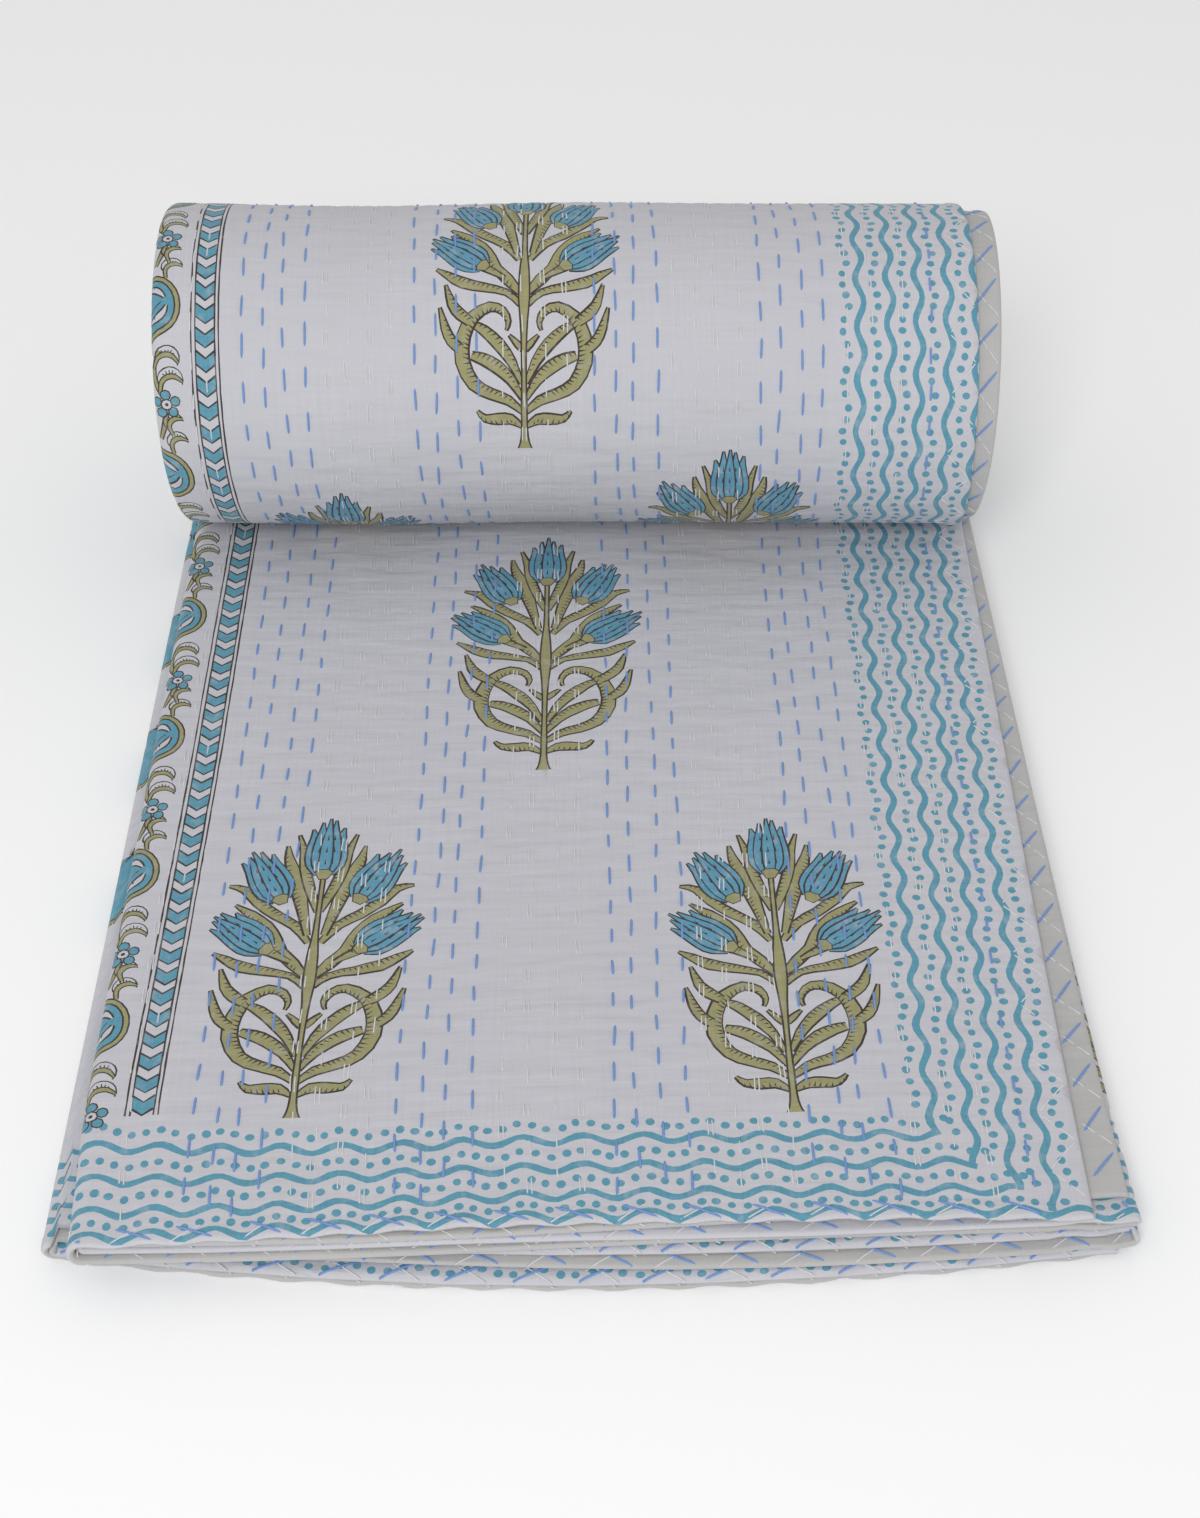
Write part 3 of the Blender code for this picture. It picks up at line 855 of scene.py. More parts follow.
def chevron_prints(v):
    """One blue arrow band with its point at v, its two dark edges, and sometimes a bare streak."""
    low, high = (line + band_slip(v) + hand.uniform(*slips) * MM
                 for line, slips in zip(CHEVRON_BAND, CHEVRON_SLIPS))
    middle = (low + high) / 2
    drop = CHEVRON_DROP * hand.uniform(*CHEVRON_DROPS)
    top = v + CHEVRON_THICK * hand.uniform(*CHEVRON_THICKS)
    lay("teal", [(low, v + drop), (middle, v), (high, v + drop), (high, top + drop), (middle, top),
                 (low, top + drop)])
    for edge in (v, top):
        path = [(low, edge + drop), (middle, edge), (high, edge + drop)]
        lay_ribbon("outline", path, [CHEVRON_LINE * hand.uniform(*CHEVRON_LINE_WIDTHS) for _ in path])
    if hand.random() < BARE_CHANCE:
        narrow, wide = BARE_HALF_WIDTHS
        lay("ground", [(middle - narrow, v + BARE_FROM), (middle + narrow, v + BARE_FROM),
                       (middle + wide, top + drop), (middle - wide, top + drop)])


for first, last in CHEVRONS_SHOW:
    v = first
    while v < last:
        chevron_prints(v)
        v += CHEVRON_PITCH
    for line in BAND_LINES:
        count = round((last - first) / BAND_LINE_STEP)
        path = []
        for i in range(count + 1):
            v = first + (last - first) * i / count
            slip = hand.uniform(-BAND_LINE_SLIP, BAND_LINE_SLIP) * MM
            path.append((line + slip + band_slip(v), v))
        lay_ribbon("outline", path, [BAND_LINE * hand.uniform(*BAND_LINE_WIDTHS) for _ in path])

# The vine band, printed from the next block over the outer fold: lobed medallions with a green rim
# on both sides of its middle line, and between them small flowers and curled leaves with ticks.
VINE_EDGE = 357 * MM
VINE_MIDDLE = 23
VINE_REPEAT = 80.5
VINE_FROM = 6 * MM
VINE_CUT = 53 * MM
MEDALLION = ((21.5, -6, 1.2), (17, 0, 1.5), (12.5, 3.5, 1.5), (7.5, 7, 1.5), (4.6, 12.5, 1.6),
             (4.8, 20, 1.6), (8.2, 26, 1.6), (14, 29.5, 1.5), (23, 31, 1.5))
MEDALLION_LEAVES = (((9.2, 16.0, 0.4), (10.6, 12.6, 2.4), (13.4, 9.6, 2.6), (17, 7.6, 0.4)),
                    ((10, 19.5, 0.4), (12.6, 22.4, 2.4), (15.8, 24.4, 2.4), (19.5, 25.2, 0.4)),
                    ((18.5, 20.5, 0.4), (20.5, 17.5, 2.4), (21, 14, 2.4), (20, 11, 0.4)))
MEDALLION_BAR = ((22.5, 5.5, 1.4), (16.5, 12.5, 1.2), (11.5, 17.5, 1.0))
BAR_FINENESS = 0.45
CURLS = ((7.4, 35.5, 4.7, -20), (8.2, 44.5, 4.4, -35), (8.0, 63.5, 5.6, -5), (9.0, 73.0, 5.4, 10))
FLOWER = (10.5, 52.5)
FLOWER_REACH = 4.2
FLOWER_TURNS = [math.tau * (k + 0.2) / 5 for k in range(5)]
FLOWER_PETALS = (("outline", 2.5), ("teal", 1.9))
FLOWER_EYE = (("outline", 2.7), ("ground", 2.05), ("outline", 0.8))
VINE_STEMS = (((14.5, 36, 1.0), (12.5, 42, 1.3), (11, 48.5, 1.3)),
              ((11.5, 56.5, 1.3), (14.5, 62, 1.5), (15, 69, 1.5), (12.5, 76, 1.0)))
VINE_EDGE_LINE = 1.2
RIM_EDGE_LINE = 1.5
CURL_EDGE_LINE = 1.1
CURL_CRESCENT = ((0.95, -1.1, 0.8), (0.75, -0.2, 1.2), (0.25, 0.22, 1.7), (-0.4, 0.2, 1.5),
                 (-0.98, -0.28, 0.3))
CURL_DOME = 0.62
CURL_DOME_WIDTHS = (0.7, 1.2)
CURL_DOME_TURNS = range(-8, 209, 24)
CURL_TICK_FROM = 0.42
CURL_TICK_REACH = (0.66, 0.78)
CURL_TICK_WIDTHS = (0.6, 0.4)


def curl_prints(block, x, y, radius, tilt):
    """A curled leaf: a green crescent up from the stem, and over it a fine dome with ticks."""
    tilt = math.radians(tilt)

    def at(across, up):
        """A place in radii from the leaf's middle, turned by its tilt."""
        return (x + radius * (across * math.cos(tilt) - up * math.sin(tilt)),
                y + radius * (across * math.sin(tilt) + up * math.cos(tilt)))

    dome = [math.radians(turn) for turn in CURL_DOME_TURNS]
    block.line("outline", [at(math.cos(a), math.sin(a)) for a in dome],
               [CURL_DOME * hand.uniform(*CURL_DOME_WIDTHS) for _ in dome])
    for a in dome[2:-2]:
        tick = [at(r * math.cos(a), r * math.sin(a))
                for r in (CURL_TICK_FROM, hand.uniform(*CURL_TICK_REACH))]
        block.line("outline", tick, CURL_TICK_WIDTHS)
    crescent = smooth([(*at(across, up), wide) for across, up, wide in CURL_CRESCENT])
    block.edged("olive", crescent, CURL_EDGE_LINE)


def ring(x, y, radius):
    """Corners of a round spot."""
    turns = [math.tau * k / DOT_CORNERS for k in range(DOT_CORNERS)]
    return [(x + radius * math.cos(turn), y + radius * math.sin(turn)) for turn in turns]


def flower_prints(block, x, y):
    """A small flower of five round petals round a white eye."""
    for turn in FLOWER_TURNS:
        place = (x + FLOWER_REACH * math.cos(turn), y + FLOWER_REACH * math.sin(turn))
        for ink, radius in FLOWER_PETALS:
            block.shape(ink, ring(*place, radius))
    for ink, radius in FLOWER_EYE:
        block.shape(ink, ring(x, y, radius))


def medallion_prints(block, whole):
    """One side of a medallion: its coloured ground, and its rim between two dark lines."""
    rim = smooth(MEDALLION, 2 if whole else 1)
    block.shape("teal", [(VINE_MIDDLE, MEDALLION[0][1])] + [(x, y) for x, y, _ in rim])
    if whole:
        for leaf in MEDALLION_LEAVES:
            leaf_prints(block, leaf, 1, "ground")
        bar = smooth(MEDALLION_BAR)
        block.line("outline", bar[:, :2], bar[:, 2] * BAR_FINENESS)
    block.edged("olive", rim, RIM_EDGE_LINE)


def vine_prints(v, whole):
    """One repeat of the band, from v on: the near side, and the middle of the far side."""
    near = Block(VINE_EDGE + band_slip(v + VINE_REPEAT / 2 * MM), v, 1, -1)
    far = Block(VINE_EDGE + 2 * VINE_MIDDLE * MM, v, 1, 1)
    if v > VINE_CUT:
        medallion_prints(far, whole)
        medallion_prints(near, whole)
    if not whole:
        return
    for stem in VINE_STEMS:
        if v + stem[0][1] * MM > VINE_CUT:
            near.edged("olive", smooth(stem), VINE_EDGE_LINE)
    for curl in CURLS:
        if v + curl[1] * MM > VINE_CUT:
            curl_prints(near, *curl)
    flower_prints(near, *FLOWER)


v = VINE_FROM
while v < CLOTH_LENGTH - VINE_CUT - VINE_REPEAT * MM:
    vine_prints(v, any(first - VINE_REPEAT * MM < v < last for first, last in SIDE_ROWS_SHOW))
    v += VINE_REPEAT * MM

# Cutting the cloth along its prints. The lines between two inks are kept, and points that hardly
# turn them are left out, as are the grid's points close to them.
INKS = ("ground", "teal", "blue", "olive", "outline")
STRAIGHT_WITHIN = 0.07 * MM
LONGEST_SIDE = 7 * MM
THINNED_CELL = 3.6 * MM
FOLD_ROW = 7 * MM
LOWER_FLAT_FROM = rolled_length(0.0, "lower")
FINE_GRID = ((0.0, 0.47), (1.31, 1.88), (CLOTH_LENGTH - 30 * MM, CLOTH_LENGTH + MM))
COARSE_EVERY = 4
DIGITS_KEPT = 7


def stays_fine(u, v):
    """Whether the cloth bends too much here to leave a point out: at the hems and in the folds."""
    in_fold = any(STARTS[fold] - MM < u < STARTS[fold] + WIDTHS[fold] + MM for fold in FOLDS)
    return in_fold or edge_distance(u, v) < HEM_WIDTH + MM


def inked_areas():
    """The flat cloth in triangles along every print, and the uppermost ink in each."""
    places = {(u, v): i for i, (u, v) in enumerate(
        ((0.0, 0.0), (CLOTH_WIDTH, 0.0), (CLOTH_WIDTH, CLOTH_LENGTH), (0.0, CLOTH_LENGTH)))}
    outlines = []
    for _, outline in prints:
        corners = [places.setdefault((round(u, DIGITS_KEPT), round(v, DIGITS_KEPT)), len(places))
                   for u, v in outline]
        outlines.append([a for a, b in zip(corners, corners[1:] + corners[:1]) if a != b])
    lows, highs = (np.array([fit(outline, axis=0) for _, outline in prints]) for fit in (np.min, np.max))
    points, _, triangles, _, _, covers = delaunay_2d_cdt(list(places), [], outlines, 0, POINT_SIZE, True)
    points = np.array([tuple(p) for p in points])
    inks = []
    for middle, cover in zip(points[np.array(triangles)].mean(axis=1), covers):
        inside = [k for k in cover if (lows[k] <= middle).all() and (middle <= highs[k]).all()]
        inks.append(INKS.index(prints[max(inside)][0]) if inside else 0)
    return points, triangles, inks


def ink_borders(points, triangles, inks):
    """The lines between two inks, without points that hardly turn them."""
    sides = {}
    for triangle, ink in zip(triangles, inks):
        for a, b in zip(triangle, triangle[1:] + triangle[:1]):
            sides.setdefault((min(a, b), max(a, b)), set()).add(ink)
    joined = {}
    for a, b in (side for side, found in sides.items() if len(found) > 1):
        joined.setdefault(a, set()).add(b)
        joined.setdefault(b, set()).add(a)
    kept_for_turn = set()
    for i in sorted(joined):
        if len(joined[i]) != 2 or i in kept_for_turn or stays_fine(*points[i]):
            continue
        a, b = joined[i]
        chord, off = points[b] - points[a], points[i] - points[a]
        long = math.hypot(*chord)
        turns = abs(chord[0] * off[1] - chord[1] * off[0]) > STRAIGHT_WITHIN * long
        if b in joined[a] or long > LONGEST_SIDE or turns:
            continue
        del joined[i]
        joined[a].remove(i)
        joined[b].remove(i)
        joined[a].add(b)
        joined[b].add(a)
        kept_for_turn |= {a, b}
    return joined


def cut_cloth():
    """The cloth cut along the grid and its inks' borders: flat points, triangles and their inks."""
    points, triangles, inks = inked_areas()
    joined = ink_borders(points, triangles, inks)
    number = {i: k for k, i in enumerate(joined)}
    flat_points = [tuple(points[i]) for i in joined]
    near = {(round(u / THINNED_CELL), round(v / THINNED_CELL)) for u, v in flat_points}
    for v in rows:
        every = 1 if within(v, FINE_GRID) else COARSE_EVERY
        flat_points += [(u, v) for k, u in enumerate(columns) if stays_fine(u, v) or k % every == 0
                        and (round(u / THINNED_CELL), round(v / THINNED_CELL)) not in near]
    for fold in FOLDS:
        fold_columns = [u for u in columns if STARTS[fold] <= u <= STARTS[fold] + WIDTHS[fold] + HAIR]
        for start, end in zip(rows, rows[1:]):
            if end - start > FOLD_ROW and (fold == "AD" or end > LOWER_FLAT_FROM):
                flat_points += [(u, v) for v in evenly(start, end, FOLD_ROW)[1:] for u in fold_columns]
    edges = [(number[a], number[b]) for a in joined for b in joined[a] if a < b]
    cut_points, _, cut_triangles, _, _, _ = delaunay_2d_cdt(flat_points, edges, [], 0, POINT_SIZE, True)
    cut_points = np.array([tuple(p) for p in cut_points])
    areas = BVHTree.FromPolygons([(u, v, 0.0) for u, v in points], triangles, all_triangles=True)
    found = []
    for u, v in cut_points[np.array(cut_triangles)].mean(axis=1):
        area = areas.ray_cast((u, v, 1.0), (0.0, 0.0, -1.0))[2]
        found.append(0 if area is None else inks[area])
    return cut_points, cut_triangles, found


def laid_cloth(name, flat, side, faces):
    """A cloth of flat points and faces, laid on the fold. Its places on the cloth are its UV map."""
    lift = side * half_thickness(flat[:, 0], flat[:, 1])
    mesh = bpy.data.meshes.new(name)
    mesh.from_pydata(surface(flat[:, 0], flat[:, 1], lift).tolist(), [], faces)
    uv = mesh.uv_layers.new(name="cloth")
    corners = np.array([loop.vertex_index for loop in mesh.loops])
    uv.data.foreach_set("uv", flat[corners].astype(np.float32).ravel())
    mesh.shade_smooth()
    piece = bpy.data.objects.new(name, mesh)
    bpy.context.scene.collection.objects.link(piece)
    return piece


flat_points, triangles, inks = cut_cloth()
printed_cloth = laid_cloth("printed_cloth", flat_points, 1, [tuple(t)[::-1] for t in triangles])
printed_cloth.data.polygons.foreach_set("material_index", inks)

# Cotton sheeting is plain woven and dull, with slubs in both directions, and block inks sink in
# unevenly, thinner where the block pressed less. The threads are under half a millimetre wide,
# finer than the render shows, so their slubs are drawn about three threads wide.
SLUB = (1.3 * MM, 45 * MM)
CLOUDS = (60 * MM, 90 * MM)
RIPPLES = (34 * MM, 7.5 * MM)
INK_PATCHES = (7 * MM, 9 * MM)
WOVEN_SHADES = (0.96, 1.025)
CLOUD_SHADE = 0.96
INK_SHADES = (0.90, 1.08)
COTTON_ROUGHNESS = 0.88
COTTON_SHEEN = 0.08
THREAD_RELIEF = 0.10 * MM
RIPPLE_RELIEF = 0.38 * MM
MAP_RANGE = ("Value", "From Min", "From Max", "To Min", "To Max")
BLEACHED = linear("#C0C0C6")
PRINTED = {"teal": ("#5892A7", 0.35), "blue": ("#5A93AC", 0.45), "olive": ("#959268", 0.25),
           "outline": ("#3B322F", 0.25)}


def add_node(tree, kind, inputs=(), **settings):
    """A node with its settings, its inputs given as values or as sockets to link from."""
    node = tree.nodes.new(kind)
    for name, value in settings.items():
        setattr(node, name, value)
    for name, value in dict(inputs).items():
        socket = node.inputs[name]
        if isinstance(value, bpy.types.NodeSocket):
            tree.links.new(value, socket)
        else:
            socket.default_value = value
    return node


def toned(colour, level):
    """A colour at another brightness."""
    return tuple(min(c * level, 1.0) for c in colour[:3]) + (1.0,)


def cotton(name, ground, ink=None, worn=0.0):
    """Woven cotton of a ground colour, printed all over with an ink, or plain."""
    material = bpy.data.materials.new(name)
    material.use_nodes = True
    tree = material.node_tree
    shader = tree.nodes["Principled BSDF"]
    cloth = add_node(tree, "ShaderNodeUVMap", uv_map="cloth").outputs["UV"]

    def patches(across, along, detail=2.0, rough=0.5):
        """Uneven patches of this size across and along the cloth."""
        scaled = add_node(tree, "ShaderNodeMapping", {"Vector": cloth, "Scale": (1 / across, 1 / along, 1.0)})
        return add_node(tree, "ShaderNodeTexNoise", {
            "Vector": scaled.outputs["Vector"], "Scale": 1.0, "Detail": detail, "Roughness": rough,
        }, noise_dimensions="2D").outputs["Fac"]

    threads = add_node(tree, "ShaderNodeMath", {
        0: patches(*SLUB, 3.0, 0.6), 1: patches(*SLUB[::-1], 3.0, 0.6)}, operation="ADD").outputs[0]
    ripples = patches(*RIPPLES, 1.5, 0.5)
    shade, cloud, thread_height, ripple_height = (
        add_node(tree, "ShaderNodeMapRange", zip(MAP_RANGE, row)).outputs["Result"] for row in (
            (threads, 0.7, 1.3, 0.0, 1.0), (patches(*CLOUDS), 0.35, 0.65, 0.0, 0.5),
            (threads, 0.6, 1.4, 0.0, THREAD_RELIEF), (ripples, 0.3, 0.7, 0.0, RIPPLE_RELIEF)))
    dark, light = (toned(ground, level) for level in WOVEN_SHADES)
    woven = add_node(tree, "ShaderNodeMix", {0: shade, 6: dark, 7: light}, data_type="RGBA").outputs[2]
    colour = add_node(tree, "ShaderNodeMix", {
        0: cloud, 6: woven, 7: toned(ground, CLOUD_SHADE)}, data_type="RGBA").outputs[2]
    if ink:
        dry = add_node(tree, "ShaderNodeMapRange", zip(MAP_RANGE, (
            patches(*INK_PATCHES, 4.0, 0.65), 0.52, 0.78, 0.0, worn))).outputs["Result"]
        dark, light = (toned(ink, level) for level in INK_SHADES)
        full = add_node(tree, "ShaderNodeMix", {0: shade, 6: dark, 7: light}, data_type="RGBA").outputs[2]
        colour = add_node(tree, "ShaderNodeMix", {0: dry, 6: full, 7: colour}, data_type="RGBA").outputs[2]
    tree.links.new(colour, shader.inputs["Base Color"])
    shader.inputs["Roughness"].default_value = COTTON_ROUGHNESS
    shader.inputs["Sheen Weight"].default_value = COTTON_SHEEN
    relief = add_node(tree, "ShaderNodeMath", {0: thread_height, 1: ripple_height}, operation="ADD")
    bump = add_node(tree, "ShaderNodeBump", {"Height": relief.outputs[0], "Distance": 1.0, "Strength": 1.0})
    tree.links.new(bump.outputs["Normal"], shader.inputs["Normal"])
    return material


printed_cloth.data.materials.append(cotton("bleached_cotton", BLEACHED))
for ink in INKS[1:]:
    hex_colour, worn = PRINTED[ink]
    printed_cloth.data.materials.append(cotton("cotton_printed_" + ink, BLEACHED, linear(hex_colour), worn))

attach(printed_cloth, "root")
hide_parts("quilt")

# ---------------------------------------------------------------------------------------------
# The backing: plain cotton sheeting, unbleached and unprinted, so a little greyer. It lies back to
# back with the printed cloth, and the two are turned in together at their hems.
grid_u, grid_v = np.meshgrid(columns, rows)
wide = len(columns)
first_corners = [i * wide + j for i in range(len(rows) - 1) for j in range(wide - 1)]
backing_cloth = laid_cloth("backing_cloth", np.stack([grid_u.ravel(), grid_v.ravel()], axis=-1), -1,
                           [(a, a + 1, a + 1 + wide, a + wide) for a in first_corners])
backing_cloth.data.materials.append(cotton("unbleached_cotton", linear("#B3B2B1")))

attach(backing_cloth, "root")

# ---------------------------------------------------------------------------------------------
# The quilting: running stitches by hand through both cloths, in rows along the quilt. The blue
# rows are thick cotton embroidery thread, the white ones finer. Each stitch dips in at its ends.
BLUE_WIDTH = 1.05 * MM
WHITE_WIDTH = 0.62 * MM
FUZZ_LENGTH = 10 / 7 * MM
THREAD_SHADES = (0.82, 1.15)
THREAD_ROUGHNESS = 0.75
THREAD_SHEEN = 0.15
STITCH_RINGS = 7
THREAD_SIDES = 6


def thread(name, colour):
    """Soft twisted cotton thread: dull, a little uneven in colour along its length."""
    material = bpy.data.materials.new(name)
    material.use_nodes = True
    tree = material.node_tree
    shader = tree.nodes["Principled BSDF"]
    place = add_node(tree, "ShaderNodeTexCoord").outputs["Object"]
    fuzz = add_node(tree, "ShaderNodeTexNoise", {"Vector": place, "Scale": 1 / FUZZ_LENGTH, "Detail": 2.0})
    dark, light = (toned(colour, level) for level in THREAD_SHADES)
    shades = add_node(tree, "ShaderNodeMix", {0: fuzz.outputs["Fac"], 6: dark, 7: light}, data_type="RGBA")
    tree.links.new(shades.outputs[2], shader.inputs["Base Color"])
    shader.inputs["Roughness"].default_value = THREAD_ROUGHNESS
    shader.inputs["Sheen Weight"].default_value = THREAD_SHEEN
    return material


def stitch_tree(name):
    """Geometry nodes that lay one bowed stitch on each point, along and out as the point says."""
    tree = bpy.data.node_groups.new(name, "GeometryNodeTree")
    face = tree.interface
    face.new_socket("Places", in_out="INPUT", socket_type="NodeSocketGeometry")
    for socket in ("Thread Width", "Rise", "Sink", "Wander"):
        face.new_socket(socket, in_out="INPUT", socket_type="NodeSocketFloat")
    face.new_socket("Seed", in_out="INPUT", socket_type="NodeSocketInt")
    face.new_socket("Thread", in_out="INPUT", socket_type="NodeSocketMaterial")
    face.new_socket("Stitches", in_out="OUTPUT", socket_type="NodeSocketGeometry")
    given = tree.nodes.new("NodeGroupInput").outputs
    line = add_node(tree, "GeometryNodeCurvePrimitiveLine", {
        "Start": (-0.5, 0.0, 0.0), "End": (0.5, 0.0, 0.0)})
    steps = add_node(tree, "GeometryNodeResampleCurve", {
        "Curve": line.outputs["Curve"], "Count": STITCH_RINGS})
    share = add_node(tree, "GeometryNodeSplineParameter").outputs["Factor"]
    ends = add_node(tree, "ShaderNodeMath", {0: share, 1: 2.0, 2: -1.0}, operation="MULTIPLY_ADD")
    ends = add_node(tree, "ShaderNodeMath", {0: ends.outputs[0]}, operation="ABSOLUTE")
    ends = add_node(tree, "ShaderNodeMath", {0: ends.outputs[0], 1: 4.0}, operation="POWER").outputs[0]
    dip = add_node(tree, "ShaderNodeMath", {0: ends, 1: given["Sink"]}, operation="MULTIPLY")
    height = add_node(tree, "ShaderNodeMath", {0: given["Rise"], 1: dip.outputs[0]}, operation="SUBTRACT")
    up = add_node(tree, "ShaderNodeCombineXYZ", {"Z": height.outputs[0]})
    bowed = add_node(tree, "GeometryNodeSetPosition", {
        "Geometry": steps.outputs["Curve"], "Offset": up.outputs["Vector"]})
    radius = add_node(tree, "ShaderNodeMath", {0: given["Thread Width"], 1: 0.5}, operation="MULTIPLY")
    round_cut = add_node(tree, "GeometryNodeCurvePrimitiveCircle", {
        "Resolution": THREAD_SIDES, "Radius": radius.outputs[0]})
    stitch = add_node(tree, "GeometryNodeCurveToMesh", {
        "Curve": bowed.outputs["Geometry"], "Profile Curve": round_cut.outputs["Curve"], "Fill Caps": True})
    along = add_node(tree, "GeometryNodeInputNamedAttribute", {"Name": "along"}, data_type="FLOAT_VECTOR")
    out = add_node(tree, "GeometryNodeInputNamedAttribute", {"Name": "out"}, data_type="FLOAT_VECTOR")
    turned = add_node(tree, "FunctionNodeAxesToRotation", {
        "Primary Axis": along.outputs["Attribute"], "Secondary Axis": out.outputs["Attribute"],
    }, primary_axis="X", secondary_axis="Z")
    long = add_node(tree, "ShaderNodeVectorMath", {0: along.outputs["Attribute"]}, operation="LENGTH")
    size = add_node(tree, "ShaderNodeCombineXYZ", {"X": long.outputs["Value"], "Y": 1.0, "Z": 1.0})
    laid = add_node(tree, "GeometryNodeInstanceOnPoints", {
        "Points": given["Places"], "Instance": stitch.outputs["Mesh"],
        "Rotation": turned.outputs["Rotation"], "Scale": size.outputs["Vector"]})
    least = add_node(tree, "ShaderNodeMath", {0: given["Wander"], 1: -1.0}, operation="MULTIPLY")
    chance = add_node(tree, "FunctionNodeRandomValue", {
        "Min": least.outputs[0], "Max": given["Wander"], "Seed": given["Seed"]}, data_type="FLOAT")
    swing = add_node(tree, "ShaderNodeCombineXYZ", {"Z": chance.outputs["Value"]})
    swung = add_node(tree, "GeometryNodeRotateInstances", {
        "Instances": laid.outputs["Instances"], "Rotation": swing.outputs["Vector"], "Local Space": True})
    real = add_node(tree, "GeometryNodeRealizeInstances", {"Geometry": swung.outputs["Instances"]})
    smooth_faces = add_node(tree, "GeometryNodeSetShadeSmooth", {"Geometry": real.outputs["Geometry"]})
    coloured = add_node(tree, "GeometryNodeSetMaterial", {
        "Geometry": smooth_faces.outputs["Geometry"], "Material": given["Thread"]})
    end = tree.nodes.new("NodeGroupOutput")
    tree.links.new(coloured.outputs["Geometry"], end.inputs["Stitches"])
    return tree


def sewn(name, stitches, tree, **sizes):
    """A piece of stitches, each given by the cloth places of its ends and the side that it shows on."""
    start, end, side = (np.array(part, float) for part in zip(*stitches))
    middle = (start + end) / 2
    lift = side * half_thickness(middle[:, 0], middle[:, 1])
    place = surface(middle[:, 0], middle[:, 1], lift)
    first, last = (surface(p[:, 0], p[:, 1], side * half_thickness(p[:, 0], p[:, 1])) for p in (start, end))
    out = surface(middle[:, 0], middle[:, 1], lift + side * MM) - place
    guides = bpy.data.meshes.new(name + "_guides")
    guides.from_pydata(((first + last + 2 * place) / 4).tolist(), [], [])
    for attribute, values in (("along", last - first), ("out", out)):
        stored = guides.attributes.new(attribute, "FLOAT_VECTOR", "POINT")
        stored.data.foreach_set("vector", values.astype(np.float32).ravel())
    holder = bpy.data.objects.new(name + "_guides", guides)
    bpy.context.scene.collection.objects.link(holder)
    modifier = holder.modifiers.new("stitches", "NODES")
    modifier.node_group = tree
    for item in tree.interface.items_tree:
        if item.in_out == "INPUT" and item.name in sizes:
            modifier[item.identifier] = sizes[item.name]
    depsgraph = bpy.context.evaluated_depsgraph_get()
    mesh = bpy.data.meshes.new_from_object(holder.evaluated_get(depsgraph), depsgraph=depsgraph)
    bpy.data.objects.remove(holder, do_unlink=True)
    mesh.name = name
    piece = bpy.data.objects.new(name, mesh)
    bpy.context.scene.collection.objects.link(piece)
    return piece


# A row wanders in two waves, and its stitches differ in length, gap and place. In a slanting line,
# a stitch begins a little way into its part of the line, and ends a little short of the next part.
WANDERS = (95 * MM, 31 * MM)
SECOND_WANDER = 0.4
STITCH_LENGTHS = (0.82, 1.15)
STITCH_GAPS = (0.8, 1.25)
STITCH_SLIP = 0.25
STITCH_SKEW = 0.3
STITCH_ENTERS = 0.06
STITCH_LEAVES = 0.94


def running_row(u, first, last, stitch, gap, wander, begin):
    """The stitches of one row along the quilt, which wanders a little to both sides."""
    row = []
    v = first + begin
    lean = hand.uniform(0, math.tau)
    while v < last - stitch:
        long = stitch * hand.uniform(*STITCH_LENGTHS)
        ends = []
        for place in (v, v + long):
            second = SECOND_WANDER * math.sin(place / WANDERS[1] + 2 * lean)
            ends.append(u + wander * (math.sin(place / WANDERS[0] + lean) + second))
        slip = hand.uniform(-STITCH_SLIP, STITCH_SLIP) * MM
        skew = hand.uniform(-STITCH_SKEW, STITCH_SKEW) * MM
        row.append(((ends[0] + slip, v), (ends[1] + slip + skew, v + long), 1))
        v += long + gap * hand.uniform(*STITCH_GAPS)
    return row


def slanted(u, v, step_u, step_v, side, parts=1):
    """Stitches in a slanting line from a place, over a step across and along the cloth."""
    line = []
    for i in range(parts):
        first = (i + STITCH_ENTERS) / parts
        last = (i + STITCH_LEAVES if parts > 1 else 1.0) / parts
        line.append(((u + step_u * first, v + step_v * first), (u + step_u * last, v + step_v * last), side))
    return line


# Each kind of running row: its stitches' length, their gap and how far the row wanders. Beside each
# other, rows start staggered, and many white stitches lie double.
QUILTED = ((9 * MM, 0.455), (1.335, 1.868))
BLUE_RUN = (10 * MM, 8.5 * MM, 1.1 * MM)
BORDER_RUN = (8 * MM, 8 * MM, 1.0 * MM)
WHITE_RUN = (8.5 * MM, 8 * MM, 0.9 * MM)
BORDER_LINE = 20.5 * MM
BORDER_BEGINS = 5 * MM
BLUE_STAGGER, BLUE_REPEAT = 5.3, 17 * MM
WHITE_STAGGER, WHITE_REPEAT = 7.1, 15 * MM
DOUBLED_SHARE = 0.6
DOUBLE_OFF = 1.7 * MM
DOUBLE_ENDS = (0.6 * MM, 0.4 * MM)

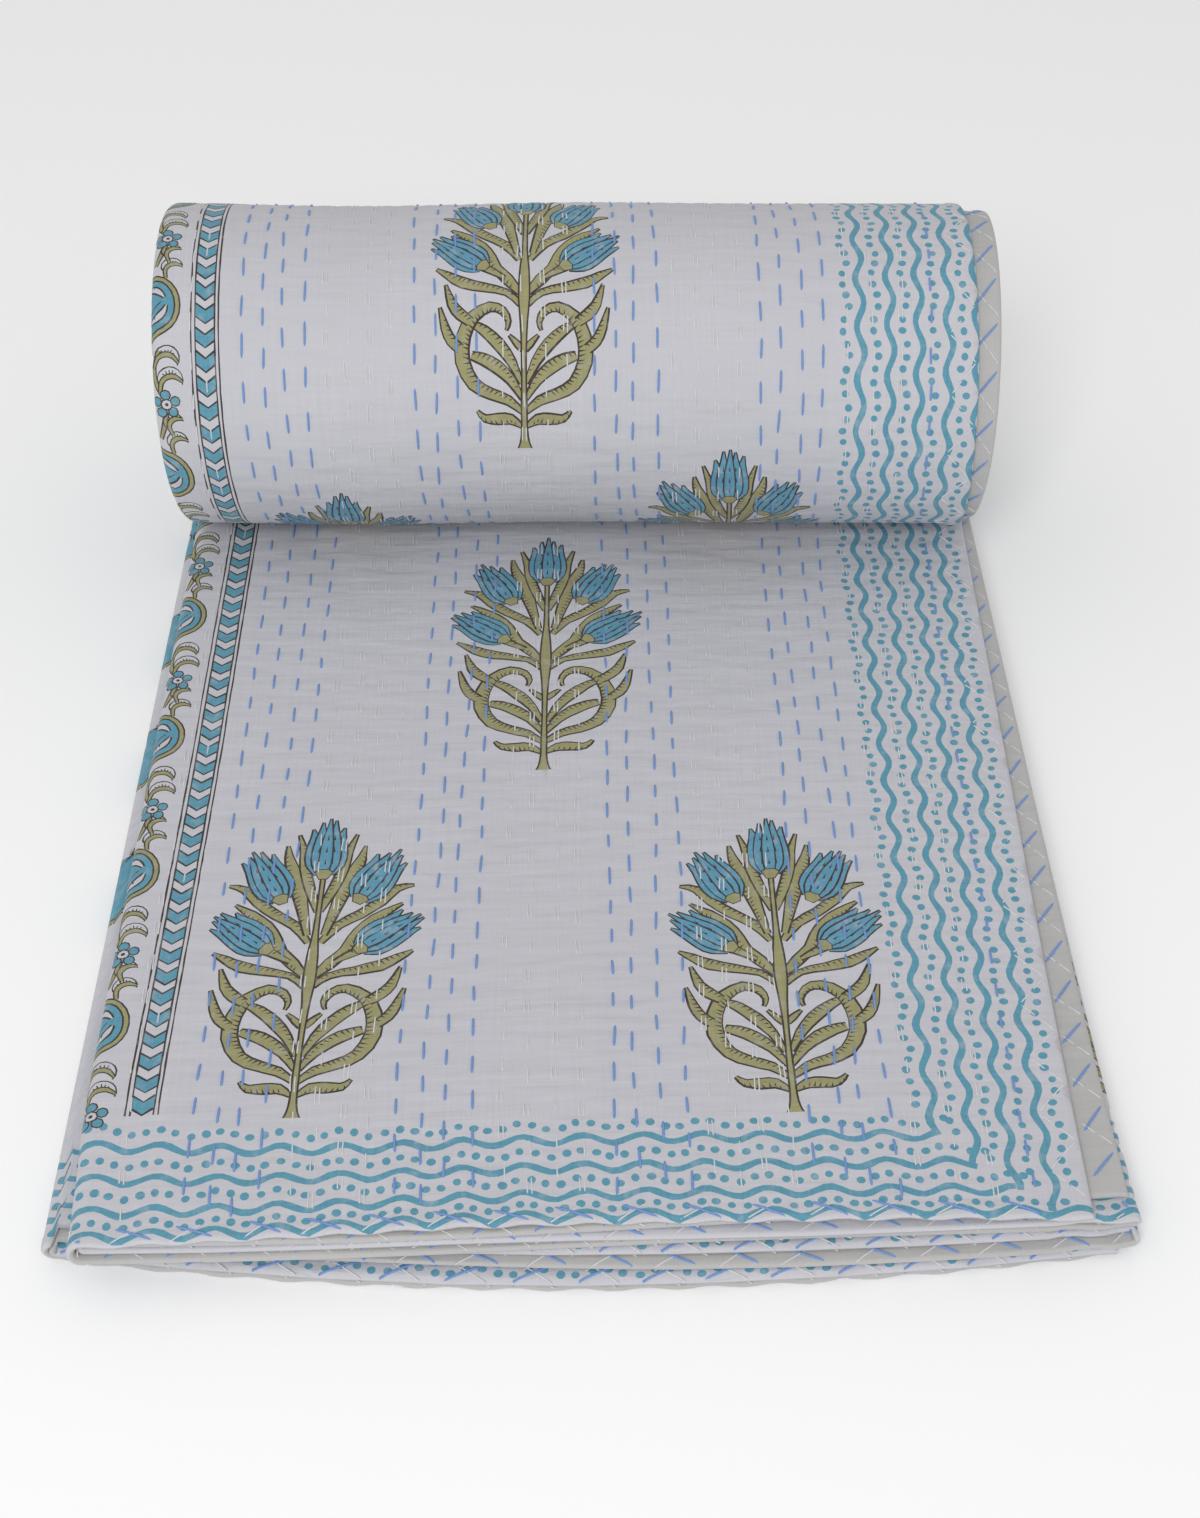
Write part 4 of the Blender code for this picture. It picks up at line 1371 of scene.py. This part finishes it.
blue_stitches = []
white_stitches = []
for first, last in QUILTED:
    for k, u in enumerate(BLUE_LINES):
        blue_stitches += running_row(u, first, last, *BLUE_RUN, (k * BLUE_STAGGER * MM) % BLUE_REPEAT)
    blue_stitches += running_row(BORDER_LINE, first, last, *BORDER_RUN, BORDER_BEGINS)
    for k, u in enumerate(WHITE_LINES):
        row = running_row(u, first, last, *WHITE_RUN, (k * WHITE_STAGGER * MM) % WHITE_REPEAT)
        white_stitches += row
        for start, end, side in row:
            if hand.random() < DOUBLED_SHARE:
                white_stitches.append(((start[0] + DOUBLE_OFF, start[1] + DOUBLE_ENDS[0]),
                                       (end[0] + DOUBLE_OFF, end[1] + DOUBLE_ENDS[1]), side))

# The near hems are whipped over with slanting stitches, blue ones one way and white the other. Those
# on the lowest panel's underside, which lies on the ground, are left out.
NEAR_SLANT = (14 * MM, 7.5 * MM)
NEAR_SLANTS_LONG = (0.92, 1.08)
NEAR_SLANT_SLIP = 1.2
WHITE_SLANT_OFF = 2 * MM
WHITE_SLANT_SHARE = 0.8
NEAR_SLANT_FROM_HEM = 0.6 * MM
NEAR_SLANTS_SHOW = (20 * MM, CLOTH_WIDTH - 20 * MM)
UNDERSIDE_FROM = STARTS["D"] + 5 * MM
for from_edge, to_v in ((NEAR_SLANT_FROM_HEM, 1), (CLOTH_LENGTH - NEAR_SLANT_FROM_HEM, -1)):
    for side in (1, -1):
        on_ground = side == 1 and to_v == -1
        u = UNDERSIDE_FROM if on_ground else NEAR_SLANTS_SHOW[0]
        while u < NEAR_SLANTS_SHOW[1]:
            slip = hand.uniform(-NEAR_SLANT_SLIP, NEAR_SLANT_SLIP) * MM
            across, along = (step * hand.uniform(*NEAR_SLANTS_LONG) for step in NEAR_SLANT)
            blue_stitches += slanted(u + slip, from_edge, across, to_v * along, side)
            start = u + across + slip + WHITE_SLANT_OFF
            white_stitches += slanted(start, from_edge, -across * WHITE_SLANT_SHARE, to_v * along, side)
            u += NEAR_SLANT_GAP

# The side hem of the top panel has a white zigzag, and the strip of backing beside it a blue slant.
SIDE_SLANTS_SHOW = ((10 * MM, 0.455), QUILTED[1])
SIDE_SLANT = (11.5 * MM, 13.5 * MM)
SIDE_SLANTS_LONG = (0.93, 1.07)
SIDE_SLANT_FROM_HEM = 1.5 * MM
STRIP_SLANT = (10 * MM, 13 * MM)
STRIP_SLANT_GAP = 22 * MM
STRIP_SLANT_FROM = CLOTH_WIDTH - 1.2 * MM
for first, last in SIDE_SLANTS_SHOW:
    v = first
    while v < last:
        across, along = (step * hand.uniform(*SIDE_SLANTS_LONG) for step in SIDE_SLANT)
        white_stitches += slanted(SIDE_SLANT_FROM_HEM, v, across, along, 1, 2)
        white_stitches += slanted(SIDE_SLANT_FROM_HEM + across, v + along, -across, along, 1, 2)
        v += 2 * along
    v = first
    while v < last:
        across, along = (step * hand.uniform(*SIDE_SLANTS_LONG) for step in STRIP_SLANT)
        blue_stitches += slanted(STRIP_SLANT_FROM, v + along, -across, -along, -1)
        white_stitches += slanted(STRIP_SLANT_FROM, v + along + WHITE_SLANT_OFF, -across, along, -1, 2)
        v += STRIP_SLANT_GAP

quilting = stitch_tree("quilting")
blue_quilting = sewn("blue_quilting", blue_stitches, quilting, **{
    "Thread Width": BLUE_WIDTH, "Rise": 0.25 * MM, "Sink": 0.9 * MM, "Wander": 0.03, "Seed": 3,
    "Thread": thread("blue_cotton_thread", linear("#7091C8"))})
white_quilting = sewn("white_quilting", white_stitches, quilting, **{
    "Thread Width": WHITE_WIDTH, "Rise": 0.12 * MM, "Sink": 0.6 * MM, "Wander": 0.03, "Seed": 5,
    "Thread": thread("white_cotton_thread", linear("#D0D0D2"))})

for piece in (blue_quilting, white_quilting):
    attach(piece, "root")
